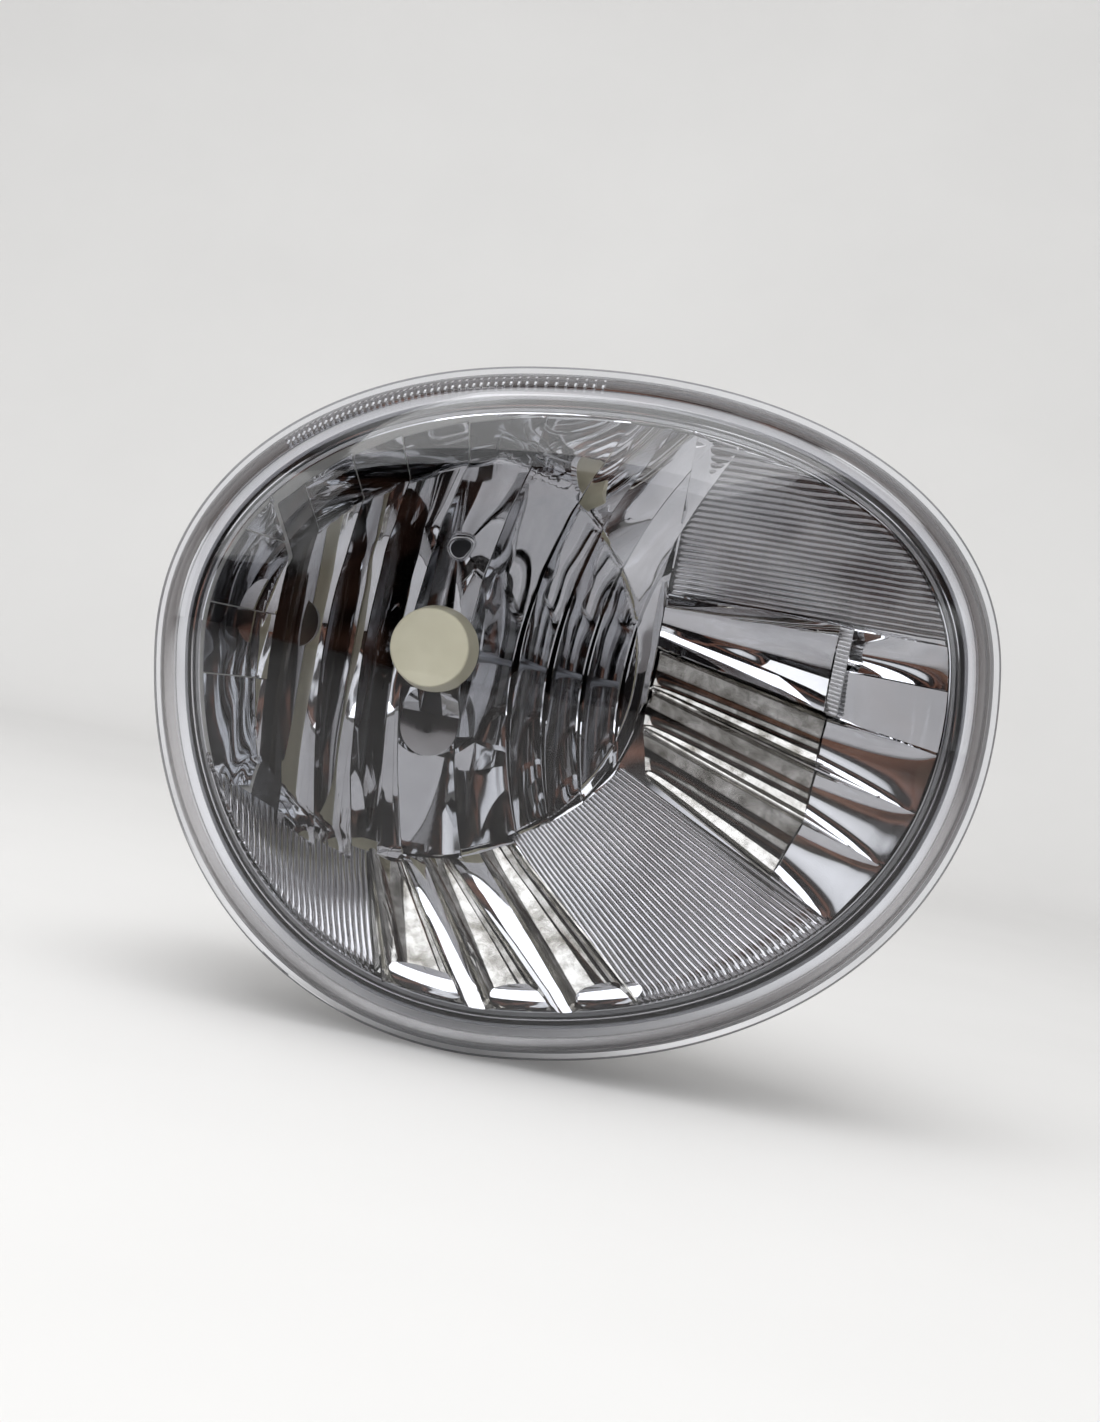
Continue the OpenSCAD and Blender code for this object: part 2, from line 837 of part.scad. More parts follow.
housing();
lens();
lens_seal();
mounting_inserts();
breather_elbow();
adjuster_bush();
adjuster_seal();
pivot_stud_left();
pivot_stud_right();
bulb_boot();
reflector();
pivot_socket_left();
pivot_socket_right();
adjuster_yoke();
bulb_ring();
bulb_ring_screws();
bulb_shield();
shield_rivet();
shield_cover();
bulb_glass();
bulb_filament();
bulb_leads();
bulb_cap();
bulb_holder();
bulb_terminals();
bulb_o_ring();
adjuster_screw();
adjuster_knob();
adjuster_clip();
adjuster_nut();
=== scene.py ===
"""Egg-shaped car headlight: stepped chrome reflector, clear domed lens, bulb shield and rear housing."""

import logging
import math
from collections.abc import Callable, Sequence
from dataclasses import dataclass
from enum import Enum
from functools import lru_cache

import bpy
import numpy as np
from mathutils import Matrix, Vector


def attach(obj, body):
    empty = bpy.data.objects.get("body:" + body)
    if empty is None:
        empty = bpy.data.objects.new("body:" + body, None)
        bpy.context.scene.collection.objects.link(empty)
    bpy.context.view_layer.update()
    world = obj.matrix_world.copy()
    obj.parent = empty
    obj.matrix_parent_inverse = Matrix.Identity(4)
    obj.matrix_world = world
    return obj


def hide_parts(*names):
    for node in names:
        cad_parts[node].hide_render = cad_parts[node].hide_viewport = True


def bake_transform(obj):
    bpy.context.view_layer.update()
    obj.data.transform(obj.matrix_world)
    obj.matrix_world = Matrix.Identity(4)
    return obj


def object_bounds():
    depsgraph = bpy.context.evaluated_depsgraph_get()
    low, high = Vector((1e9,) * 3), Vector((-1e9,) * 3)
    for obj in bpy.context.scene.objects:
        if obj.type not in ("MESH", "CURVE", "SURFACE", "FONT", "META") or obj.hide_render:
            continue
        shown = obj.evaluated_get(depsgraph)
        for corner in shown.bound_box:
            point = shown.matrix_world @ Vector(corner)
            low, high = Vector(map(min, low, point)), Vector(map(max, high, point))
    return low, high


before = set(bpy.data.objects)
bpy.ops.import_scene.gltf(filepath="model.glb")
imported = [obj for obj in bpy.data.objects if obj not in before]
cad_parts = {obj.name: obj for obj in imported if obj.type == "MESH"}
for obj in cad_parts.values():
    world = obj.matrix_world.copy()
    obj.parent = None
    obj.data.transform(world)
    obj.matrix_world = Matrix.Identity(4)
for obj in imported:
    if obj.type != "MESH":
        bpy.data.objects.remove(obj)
CAD_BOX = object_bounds()

MM = 0.001
ROOT = "root"
REFLECTOR_BODY = "reflector_body"

log = logging.getLogger("headlight")

Array = np.ndarray
Shape = Callable[[Array, Array], tuple[Array, Array, Array]]
Round = Callable[[Array, float], tuple[Array, Array]]


# ---------- the lamp's own geometry, in millimetres: across (+X), up (+Z), depth (to the lens) ----------


@dataclass(frozen=True)
class LampOutline:
    """The egg-shaped outline: four quarter curves round a centre, turned a little."""

    right: float = 97.5
    left: float = 81.5
    up: float = 62.5
    down: float = 84.0
    power: float = 2.15
    turn: float = math.radians(9)
    across: float = 25.0
    height: float = 1.0

    def points(self, angle: Array, grow: float) -> tuple[Array, Array]:
        """Points of the outline.

        Args:
            angle: Angles round the outline's own centre, in radians.
            grow: How far the half widths are grown; negative goes inwards.

        Returns:
            The across and up coordinates.
        """
        c, s = np.cos(angle), np.sin(angle)
        x = (np.where(c > 0, self.right, self.left) + grow) * np.sign(c) * np.abs(c) ** (2 / self.power)
        y = (np.where(s > 0, self.up, self.down) + grow) * np.sign(s) * np.abs(s) ** (2 / self.power)
        return (
            self.across + x * math.cos(self.turn) - y * math.sin(self.turn),
            self.height + x * math.sin(self.turn) + y * math.cos(self.turn),
        )

    def reach(self, direction: Array, grow: float) -> Array:
        """Distance from the optical axis to the outline.

        Args:
            direction: Directions round the optical axis, in radians.
            grow: How far the half widths are grown.

        Returns:
            The distances in those directions.
        """
        angles, distances = _reach_table(self, grow)
        return np.interp(direction, angles, distances, period=2 * math.pi)


@lru_cache(maxsize=None)
def _reach_table(outline: LampOutline, grow: float) -> tuple[Array, Array]:
    """The directions and distances of a fine sampling of an outline, sorted by direction."""
    x, y = outline.points(np.linspace(0, 2 * math.pi, 1441)[:-1], grow)
    angles = np.arctan2(y, x)
    order = np.argsort(angles)
    return angles[order], np.hypot(x, y)[order]


OUTLINE = LampOutline()


@dataclass(frozen=True)
class ReflectorShell:
    """The smooth front of the reflector's shell, which every step, rib and flute stands on."""

    focal_length: float = 16.0
    bottom: float = 20.0
    bowl_radius: float = 46.0
    border_outside: float = -10.9
    border_width: float = 0.8
    border_front: float = 79.0
    apron_top: float = 77.6

    def bowl(self, x: Array, z: Array) -> Array:
        """Depth of the bowl's paraboloid, carried on past its edge."""
        return self.bottom + (x * x + z * z) / (4 * self.focal_length)

    def edge(self, direction: Array) -> Array:
        """Distance from the axis to the border's inner edge."""
        return OUTLINE.reach(direction, self.border_outside) - self.border_width

    def depth(self, x: Array, z: Array) -> Array:
        """Depth of the shell's front.

        Args:
            x: Across coordinates.
            z: Up coordinates.

        Returns:
            The bowl's depth inside its edge, and the apron's slope outside it.
        """
        r = np.hypot(x, z)
        apron_edge = self.edge(np.arctan2(z, x))
        foot_radius = np.minimum(self.bowl_radius, apron_edge - 4.0)
        foot = self.bottom + foot_radius**2 / (4 * self.focal_length)
        share = (r - foot_radius) / (apron_edge - foot_radius)
        apron = foot + share * (self.apron_top - foot)
        return np.where(r <= foot_radius, self.bowl(x, z), np.minimum(apron, self.border_front))


SHELL = ReflectorShell()


# ---------- mesh tools ----------


def deselect_all() -> None:
    """Leaves nothing selected, in object mode."""
    if bpy.context.object and bpy.context.object.mode != "OBJECT":
        bpy.ops.object.mode_set(mode="OBJECT")
    bpy.ops.object.select_all(action="DESELECT")


def make_active(piece: bpy.types.Object) -> None:
    """Selects one object alone and makes it active."""
    deselect_all()
    piece.select_set(True)
    bpy.context.view_layer.objects.active = piece


def add_modifier(piece: bpy.types.Object, kind: str, **settings: object) -> None:
    """Adds a modifier and applies it.

    Args:
        piece: The object to change.
        kind: The modifier's type, such as SOLIDIFY.
        **settings: The modifier's settings.
    """
    make_active(piece)
    modifier = piece.modifiers.new(kind.title(), kind)
    for name, value in settings.items():
        setattr(modifier, name, value)
    bpy.ops.object.modifier_apply(modifier=modifier.name)


def sheet(name: str, columns: int, rows: int, shape: Shape) -> bpy.types.Object:
    """A grid laid over a shape.

    Args:
        name: The object's name.
        columns: Cells along u.
        rows: Cells along v.
        shape: Gives across, up and depth in millimetres from u and v, each 0 to 1.

    Returns:
        The new object.
    """
    deselect_all()
    bpy.ops.mesh.primitive_grid_add(x_subdivisions=columns, y_subdivisions=rows, size=1)
    piece = bpy.context.object
    piece.name = piece.data.name = name
    flat = np.empty(len(piece.data.vertices) * 3)
    piece.data.vertices.foreach_get("co", flat)
    flat = flat.reshape(-1, 3)
    across, up, depth = shape(flat[:, 0] + 0.5, flat[:, 1] + 0.5)
    placed = np.column_stack([across, -depth, up]) * MM
    piece.data.vertices.foreach_set("co", placed.ravel())
    piece.data.update()
    weld(piece)
    return piece


def weld(piece: bpy.types.Object, distance: float = 0.002) -> None:
    """Merges vertices that meet, in millimetres."""
    make_active(piece)
    bpy.ops.object.mode_set(mode="EDIT")
    bpy.ops.mesh.select_all(action="SELECT")
    bpy.ops.mesh.remove_doubles(threshold=distance * MM)
    bpy.ops.object.mode_set(mode="OBJECT")


def face_outwards(piece: bpy.types.Object) -> None:
    """Turns every face of a closed mesh outwards."""
    make_active(piece)
    bpy.ops.object.mode_set(mode="EDIT")
    bpy.ops.mesh.select_all(action="SELECT")
    bpy.ops.mesh.normals_make_consistent(inside=False)
    bpy.ops.object.mode_set(mode="OBJECT")


def join(name: str, pieces: Sequence[bpy.types.Object]) -> bpy.types.Object:
    """Joins meshes into one named object.

    Args:
        name: The name of the result.
        pieces: The meshes, which are used up.

    Returns:
        The joined object.
    """
    deselect_all()
    for piece in pieces:
        piece.select_set(True)
    bpy.context.view_layer.objects.active = pieces[0]
    if len(pieces) > 1:
        bpy.ops.object.join()
    joined = bpy.context.object
    joined.name = joined.data.name = name
    return joined


def settle(piece: bpy.types.Object) -> None:
    """Puts a piece's place into its mesh, so that its object sits at the origin."""
    make_active(piece)
    bpy.ops.object.transform_apply(location=True, rotation=True, scale=True)


def smooth(piece: bpy.types.Object, angle: float = 32.0) -> None:
    """Shades a piece smooth, keeping edges sharper than the angle in degrees."""
    make_active(piece)
    bpy.ops.object.shade_smooth_by_angle(angle=math.radians(angle))


def ring_shape(profile: Sequence[tuple[float, float]], around: Round) -> Shape:
    """A closed profile carried round a closed curve.

    Args:
        profile: Pairs of a size that around understands, and a depth.
        around: Gives across and up from angles and a size.

    Returns:
        A shape whose u goes round the curve and whose v goes along the profile.
    """
    steps = len(profile) - 1

    def shape(u: Array, v: Array) -> tuple[Array, Array, Array]:
        x, z, depth = np.empty_like(u), np.empty_like(u), np.empty_like(u)
        station = np.rint(v * steps).astype(int)
        for k, (size, level) in enumerate(profile):
            at = station == k
            x[at], z[at] = around(2 * math.pi * u[at], size)
            depth[at] = level
        return x, z, depth

    return shape


def around_outline(angle: Array, grow: float) -> tuple[Array, Array]:
    """Carries a profile round the lamp's outline."""
    return OUTLINE.points(angle, grow)


def around_axis(angle: Array, radius: float) -> tuple[Array, Array]:
    """Carries a profile round the optical axis."""
    return radius * np.cos(angle), radius * np.sin(angle)


def turned(name: str, profile: Sequence[tuple[float, float]], steps: int = 96) -> bpy.types.Object:
    """A solid turned round the optical axis from a closed profile of radius and depth."""
    closed = [*profile, profile[0]]
    piece = sheet(name, steps, len(closed) - 1, ring_shape(closed, around_axis))
    face_outwards(piece)
    return piece


def tube_at(
    name: str, across: float, up: float, profile: Sequence[tuple[float, float]], steps: int = 48
) -> bpy.types.Object:
    """A solid turned round an axis that runs through the lamp from back to front.

    Args:
        name: The object's name.
        across: The axis's place across, in millimetres.
        up: The axis's place up.
        profile: The closed profile, as pairs of radius and depth.
        steps: Cells round the axis.

    Returns:
        The turned solid.
    """
    piece = turned(name, profile, steps)
    piece.location = (across * MM, 0, up * MM)
    settle(piece)
    return piece


def rounded_box(name: str, low: Sequence[float], high: Sequence[float], bevel: float) -> bpy.types.Object:
    """A box between two corners of across, up and depth, with bevelled edges.

    Args:
        name: The object's name.
        low: The least across, up and depth, in millimetres.
        high: The greatest across, up and depth.
        bevel: Width of the bevel.

    Returns:
        The box.
    """
    deselect_all()
    middle = [(a + b) / 2 for a, b in zip(low, high)]
    size = [b - a for a, b in zip(low, high)]
    bpy.ops.mesh.primitive_cube_add(
        size=1,
        location=(middle[0] * MM, -middle[2] * MM, middle[1] * MM),
        scale=(size[0] * MM, size[2] * MM, size[1] * MM),
    )
    piece = bpy.context.object
    piece.name = piece.data.name = name
    settle(piece)
    if bevel:
        add_modifier(piece, "BEVEL", width=bevel * MM, segments=3)
    return piece


# ---------- finishes ----------


class Kind(Enum):
    """What a finish is made of, which decides how its shader is set."""

    METAL = "metal"
    PLASTIC = "plastic"
    RUBBER = "rubber"
    GLASS = "glass"


def new_group(name: str, inputs: dict[str, float], outputs: Sequence[str]) -> bpy.types.NodeTree:
    """A shader node group with its sockets.

    Args:
        name: The group's name.
        inputs: The value inputs and what each starts at.
        outputs: The value outputs; Normal is made a vector.

    Returns:
        The empty group, with its input and output nodes named In and Out.
    """
    group = bpy.data.node_groups.new(name, "ShaderNodeTree")
    for label, value in inputs.items():
        socket = group.interface.new_socket(name=label, in_out="INPUT", socket_type="NodeSocketFloat")
        socket.default_value = value
    for label in outputs:
        kind = "NodeSocketVector" if label == "Normal" else "NodeSocketFloat"
        group.interface.new_socket(name=label, in_out="OUTPUT", socket_type=kind)
    group.nodes.new("NodeGroupInput").name = "In"
    group.nodes.new("NodeGroupOutput").name = "Out"
    return group


@lru_cache(maxsize=None)
def grain_group() -> bpy.types.NodeTree:
    """Fine moulded or brushed grain: a normal and a value that vary over the surface."""
    group = new_group("surface_grain", {"Scale": 900.0, "Stretch": 1.0, "Depth": 0.1}, ("Normal", "Value"))
    nodes, links = group.nodes, group.links
    coordinates = nodes.new("ShaderNodeTexCoord")
    stretch = nodes.new("ShaderNodeCombineXYZ")
    stretch.inputs["X"].default_value = 1.0
    stretch.inputs["Y"].default_value = 1.0
    scaled = nodes.new("ShaderNodeVectorMath")
    scaled.operation = "MULTIPLY"
    noise = nodes.new("ShaderNodeTexNoise")
    noise.inputs["Detail"].default_value = 3.0
    bump = nodes.new("ShaderNodeBump")
    bump.inputs["Distance"].default_value = 0.0001
    links.new(nodes["In"].outputs["Stretch"], stretch.inputs["Z"])
    links.new(coordinates.outputs["Object"], scaled.inputs[0])
    links.new(stretch.outputs[0], scaled.inputs[1])
    links.new(scaled.outputs[0], noise.inputs["Vector"])
    links.new(nodes["In"].outputs["Scale"], noise.inputs["Scale"])
    links.new(noise.outputs["Fac"], bump.inputs["Height"])
    links.new(nodes["In"].outputs["Depth"], bump.inputs["Strength"])
    links.new(bump.outputs["Normal"], nodes["Out"].inputs["Normal"])
    links.new(noise.outputs["Fac"], nodes["Out"].inputs["Value"])
    return group


@lru_cache(maxsize=None)
def haze_group() -> bpy.types.NodeTree:
    """Broad, soft clouding with small specks of dust: two masks over the surface."""
    group = new_group("soft_haze", {"Scale": 40.0, "Specks": 0.5}, ("Cloud", "Dust"))
    nodes, links = group.nodes, group.links
    coordinates = nodes.new("ShaderNodeTexCoord")
    cloud = nodes.new("ShaderNodeTexNoise")
    cloud.inputs["Detail"].default_value = 4.0
    cloud.inputs["Roughness"].default_value = 0.6
    specks = nodes.new("ShaderNodeTexVoronoi")
    specks.inputs["Scale"].default_value = 420.0
    spread = nodes.new("ShaderNodeMapRange")
    spread.inputs["From Min"].default_value = 0.3
    spread.inputs["From Max"].default_value = 0.7
    near = nodes.new("ShaderNodeMapRange")
    near.inputs["From Min"].default_value = 0.09
    near.inputs["From Max"].default_value = 0.05
    weight = nodes.new("ShaderNodeMath")
    weight.operation = "MULTIPLY"
    links.new(coordinates.outputs["Object"], cloud.inputs["Vector"])
    links.new(coordinates.outputs["Object"], specks.inputs["Vector"])
    links.new(nodes["In"].outputs["Scale"], cloud.inputs["Scale"])
    links.new(cloud.outputs["Fac"], spread.inputs["Value"])
    links.new(specks.outputs["Distance"], near.inputs["Value"])
    links.new(near.outputs["Result"], weight.inputs[0])
    links.new(nodes["In"].outputs["Specks"], weight.inputs[1])
    links.new(spread.outputs["Result"], nodes["Out"].inputs["Cloud"])
    links.new(weight.outputs[0], nodes["Out"].inputs["Dust"])
    return group


@dataclass(frozen=True)
class Finish:
    """A finish: its two close colours, its gloss and its grain."""

    name: str
    kind: Kind
    light: tuple[float, float, float]
    deep: tuple[float, float, float]
    smoothest: float
    roughest: float
    grain: float = 900.0
    depth: float = 0.1
    stretch: float = 1.0
    cloud: float = 40.0
    specks: float = 0.3
    coat: float = 0.0
    refraction: float = 1.5

    def material(self) -> bpy.types.Material:
        """The finish's material, made on first use."""
        return bpy.data.materials.get(self.name) or self.make()

    def make(self) -> bpy.types.Material:
        """Builds the finish's shader.

        Returns:
            The new material.
        """
        material = bpy.data.materials.new(self.name)
        material.use_nodes = True
        nodes, links = material.node_tree.nodes, material.node_tree.links
        shader = nodes["Principled BSDF"]
        haze = self.place(nodes, haze_group(), Scale=self.cloud, Specks=self.specks)
        grain = self.place(nodes, grain_group(), Scale=self.grain, Stretch=self.stretch, Depth=self.depth)
        colour = nodes.new("ShaderNodeMix")
        colour.data_type = "RGBA"
        colour.inputs["A"].default_value = (*self.deep, 1)
        colour.inputs["B"].default_value = (*self.light, 1)
        rough = nodes.new("ShaderNodeMapRange")
        rough.inputs["To Min"].default_value = self.smoothest
        rough.inputs["To Max"].default_value = self.roughest
        spoiled = nodes.new("ShaderNodeMath")
        spoiled.operation = "MULTIPLY_ADD"
        spoiled.inputs[1].default_value = 0.3
        links.new(haze.outputs["Cloud"], colour.inputs["Factor"])
        links.new(colour.outputs["Result"], shader.inputs["Base Color"])
        links.new(grain.outputs["Value"], rough.inputs["Value"])
        links.new(haze.outputs["Dust"], spoiled.inputs[0])
        links.new(rough.outputs["Result"], spoiled.inputs[2])
        links.new(spoiled.outputs[0], shader.inputs["Roughness"])
        links.new(grain.outputs["Normal"], shader.inputs["Normal"])
        self.set_kind(shader)
        if self.kind is Kind.GLASS:
            self.let_light_in(nodes, links, shader)
        return material

    def set_kind(self, shader: bpy.types.Node) -> None:
        """Sets what is the same all over on the shader's own sockets."""
        shader.inputs["Metallic"].default_value = 1.0 if self.kind is Kind.METAL else 0.0
        shader.inputs["Transmission Weight"].default_value = 1.0 if self.kind is Kind.GLASS else 0.0
        shader.inputs["IOR"].default_value = self.refraction
        shader.inputs["Coat Weight"].default_value = self.coat
        if self.kind is Kind.RUBBER:
            shader.inputs["Sheen Weight"].default_value = 0.15

    @staticmethod
    def let_light_in(nodes: bpy.types.Nodes, links: bpy.types.NodeLinks, shader: bpy.types.Node) -> None:
        """Lets lamps shine through glass onto what is behind it."""
        path = nodes.new("ShaderNodeLightPath")
        solid = nodes.new("ShaderNodeMath")
        solid.operation = "MULTIPLY_ADD"
        solid.inputs[1].default_value = -0.9
        solid.inputs[2].default_value = 1.0
        links.new(path.outputs["Is Shadow Ray"], solid.inputs[0])
        links.new(solid.outputs[0], shader.inputs["Alpha"])

    @staticmethod
    def place(nodes: bpy.types.Nodes, group: bpy.types.NodeTree, **values: float) -> bpy.types.Node:
        """Places a node group in a material with its own values.

        Args:
            nodes: The material's nodes.
            group: The group.
            **values: The inputs to set.

        Returns:
            The group's node.
        """
        node = nodes.new("ShaderNodeGroup")
        node.node_tree = group
        for label, value in values.items():
            node.inputs[label].default_value = value
        return node


CHROME = Finish(
    "mirror_chrome_coat", Kind.METAL, (0.86, 0.865, 0.87), (0.74, 0.745, 0.755), 0.015, 0.04, 260, 0.002
)
# Nearly black chrome: painted shade for the deep, shaded gap of the bowl's leftmost step.
PAINTED_SHADE_GAP = Finish(
    "painted_shade_gap_chrome", Kind.METAL, (0.07, 0.065, 0.06), (0.03, 0.03, 0.03), 0.08, 0.14, 260, 0.002
)
FLUTE_CHROME = Finish(
    "flute_chrome_coat", Kind.METAL, (0.66, 0.65, 0.61), (0.17, 0.16, 0.135), 0.03, 0.07, 260, 0.002, 1.0, 200
)
RIBBED_CHROME = Finish(
    "ribbed_chrome_coat", Kind.METAL, (0.6, 0.6, 0.605), (0.44, 0.44, 0.445), 0.08, 0.14, 500, 0.01
)
FROSTED_CHROME = Finish(
    "frosted_chrome_coat", Kind.METAL, (0.82, 0.82, 0.82), (0.7, 0.7, 0.7), 0.2, 0.4, 1400, 0.4
)
PLATED_SHEET = Finish(
    "plated_sheet", Kind.METAL, (0.66, 0.66, 0.66), (0.52, 0.52, 0.525), 0.08, 0.16, 700, 0.04, 0.2
)
ZINC = Finish("zinc_plate", Kind.METAL, (0.72, 0.73, 0.75), (0.58, 0.6, 0.63), 0.22, 0.4, 900, 0.1)
BRASS = Finish("turned_brass", Kind.METAL, (0.86, 0.66, 0.33), (0.66, 0.48, 0.22), 0.18, 0.36, 800, 0.08)
TINNED = Finish("tinned_brass", Kind.METAL, (0.78, 0.72, 0.52), (0.66, 0.58, 0.38), 0.25, 0.4, 700, 0.08)
TUNGSTEN = Finish("tungsten_wire", Kind.METAL, (0.4, 0.39, 0.38), (0.25, 0.24, 0.24), 0.3, 0.5, 3000, 0.1)
LENS_CLEAR = Finish(
    "clear_lens",
    Kind.GLASS,
    (0.965, 0.972, 1.0),
    (0.945, 0.955, 0.99),
    0.0,
    0.012,
    grain=60,
    depth=0.008,
    cloud=25,
    specks=0.0,
    refraction=1.46,
)
# Opaque near-white plastic for the lens's small ribs: the ribs are real, their white is a painted glint
# standing in for light caught in clear ribs.
LENS_RIBS_PAINTED_GLINT = Finish("lens_ribs_painted_glint", Kind.PLASTIC, (0.95, 0.95, 0.97), (0.85, 0.86, 0.9), 0.2, 0.3, 500, 0.05)
BULB_QUARTZ = Finish("bulb_quartz", Kind.GLASS, (0.98, 0.99, 1.0), (0.95, 0.96, 0.98), 0.0, 0.02, 90, 0.01)
CREAM = Finish(
    "cream_cover", Kind.PLASTIC, (0.74, 0.7, 0.52), (0.64, 0.6, 0.43), 0.38, 0.52, 650, 0.1, 1.0, 90
)
HOUSING = Finish(
    "housing_grain", Kind.PLASTIC, (0.34, 0.34, 0.345), (0.27, 0.27, 0.275), 0.42, 0.6, 1500, 0.35
)
BULK_MOULDING = Finish(
    "reflector_back", Kind.PLASTIC, (0.42, 0.42, 0.4), (0.33, 0.33, 0.31), 0.45, 0.65, 1000, 0.3
)
NYLON = Finish("natural_nylon", Kind.PLASTIC, (0.82, 0.8, 0.72), (0.72, 0.7, 0.62), 0.35, 0.5, 1100, 0.12)
BLACK_NYLON = Finish(
    "black_nylon", Kind.PLASTIC, (0.03, 0.03, 0.032), (0.018, 0.018, 0.02), 0.32, 0.5, 1300, 0.2
)
RUBBER = Finish(
    "soft_rubber", Kind.RUBBER, (0.026, 0.026, 0.026), (0.015, 0.015, 0.015), 0.55, 0.75, 1200, 0.25
)
SEALANT = Finish("cured_sealant", Kind.RUBBER, (0.5, 0.5, 0.5), (0.42, 0.42, 0.425), 0.4, 0.6, 700, 0.2)
RED_RUBBER = Finish("red_silicone", Kind.RUBBER, (0.42, 0.07, 0.04), (0.3, 0.05, 0.03), 0.4, 0.55, 900, 0.1)

NODE_FINISHES = {
    "lens_seal": SEALANT,
    "mounting_inserts": BRASS,
    "breather_elbow": RUBBER,
    "adjuster_bush": NYLON,
    "adjuster_seal": RUBBER,
    "pivot_stud_left": ZINC,
    "pivot_stud_right": ZINC,
    "pivot_socket_left": NYLON,
    "pivot_socket_right": NYLON,
    "adjuster_yoke": NYLON,
    "bulb_ring": PLATED_SHEET,
    "bulb_ring_screws": ZINC,
    "bulb_shield": CHROME,
    "shield_rivet": CHROME,
    "shield_cover": CREAM,
    "bulb_glass": BULB_QUARTZ,
    "bulb_filament": TUNGSTEN,
    "bulb_leads": ZINC,
    "bulb_cap": ZINC,
    "bulb_holder": BLACK_NYLON,
    "bulb_terminals": TINNED,
    "bulb_o_ring": RED_RUBBER,
    "adjuster_screw": ZINC,
    "adjuster_knob": NYLON,
    "adjuster_clip": ZINC,
    "adjuster_nut": NYLON,
    "lens": LENS_CLEAR,
    "housing": HOUSING,
    "bulb_boot": RUBBER,
    "reflector": CHROME,
}


def dress(piece: bpy.types.Object, *finishes: Finish) -> None:
    """Gives a piece its materials, in the order of its faces' material numbers."""
    for index in range(len(piece.material_slots)):
        piece.material_slots[index].material = finishes[min(index, len(finishes) - 1)].material()
    for finish in finishes[len(piece.material_slots) :]:
        piece.data.materials.append(finish.material())


def place(piece: bpy.types.Object, body: str, slot: str, *finishes: Finish) -> bpy.types.Object:
    """Dresses a new piece and lets it ride on its body.

    Args:
        piece: The finished piece.
        body: The body that it rides on.
        slot: The record's material slot; not used.
        *finishes: Its finishes.

    Returns:
        The piece.
    """
    dress(piece, *finishes)
    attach(piece, body)
    log.info("%s: %d faces on %s", piece.name, len(piece.data.polygons), body)
    return piece


# ---------- the reflector's front ----------


@dataclass(frozen=True)
class Border:
    """The inner edge of the reflector's border, read by place across or up."""

    def points(self) -> tuple[Array, Array]:
        """A fine sampling of the edge, as across and up."""
        return _border_points()

    def top(self, across: Array) -> Array:
        """Height of the edge's upper half at places across."""
        x, z = _upper_half()
        return np.interp(across, x, z)

    def along(self, x: Array, z: Array, direction: float) -> tuple[Array, Array]:
        """Where lines from points inside reach the edge.

        Args:
            x: Across coordinates of the starts.
            z: Up coordinates of the starts.
            direction: The lines' direction in degrees.

        Returns:
            The across and up coordinates of the ends.
        """
        dx, dz = math.cos(math.radians(direction)), math.sin(math.radians(direction))
        near, far = np.zeros_like(x), np.full_like(x, 200.0)
        for _ in range(40):
            middle = (near + far) / 2
            px, pz = x + dx * middle, z + dz * middle
            inside = np.hypot(px, pz) < SHELL.edge(np.arctan2(pz, px))
            near, far = np.where(inside, middle, near), np.where(inside, far, middle)
        return x + dx * near, z + dz * near


@lru_cache(maxsize=None)
def _border_points() -> tuple[Array, Array]:
    """The sampling behind Border.points."""
    angles = np.linspace(-math.pi, math.pi, 1441)
    reach = SHELL.edge(angles)
    return reach * np.cos(angles), reach * np.sin(angles)


@lru_cache(maxsize=None)
def _upper_half() -> tuple[Array, Array]:
    """The upper half of the border's edge, from left to right."""
    x, z = _border_points()
    left, right = int(np.argmin(x)), int(np.argmax(x))
    order = np.argsort(x)
    keep = order[z[order] > np.interp(x[order], [x[left], x[right]], [z[left], z[right]])]
    return x[keep], z[keep]


BORDER = Border()

Curve = Callable[[Array], tuple[Array, Array]]
Relief = Callable[[Array, Array], Array]

RIM_LAP = 0.2  # how far a patch may lap over the border's edge


def polyline(*corners: tuple[float, float]) -> Curve:
    """A run of straight stretches through corners, walked evenly by length."""
    points = np.array(corners, float)
    run = np.concatenate([[0], np.cumsum(np.hypot(*np.diff(points, axis=0).T))])

    def curve(u: Array) -> tuple[Array, Array]:
        at = u * run[-1]
        return np.interp(at, run, points[:, 0]), np.interp(at, run, points[:, 1])

    return curve


def rim_arc(start: float, end: float) -> Curve:
    """The border's edge between two directions round the axis, in degrees."""

    def curve(u: Array) -> tuple[Array, Array]:
        angle = np.radians(start + (end - start) * u)
        reach = SHELL.edge((angle + math.pi) % (2 * math.pi) - math.pi)
        return reach * np.cos(angle), reach * np.sin(angle)

    return curve


def arc(start: float, end: float, first: float, last: float) -> Curve:
    """An arc round the optical axis whose radius runs from first to last, directions in degrees."""

    def curve(u: Array) -> tuple[Array, Array]:
        angle = np.radians(start + (end - start) * u)
        radius = first + (last - first) * u
        return radius * np.cos(angle), radius * np.sin(angle)

    return curve


def held_inside(x: Array, z: Array, gap: float) -> tuple[Array, Array]:
    """Draws points in towards the axis where they come closer than a gap to the border's edge.

    Args:
        x: Across coordinates.
        z: Up coordinates.
        gap: The gap in millimetres; a negative gap lets points pass the edge by that much.

    Returns:
        The across and up coordinates.
    """
    held = np.minimum(1.0, (SHELL.edge(np.arctan2(z, x)) - gap) / np.maximum(np.hypot(x, z), 1.0))
    return x * held, z * held


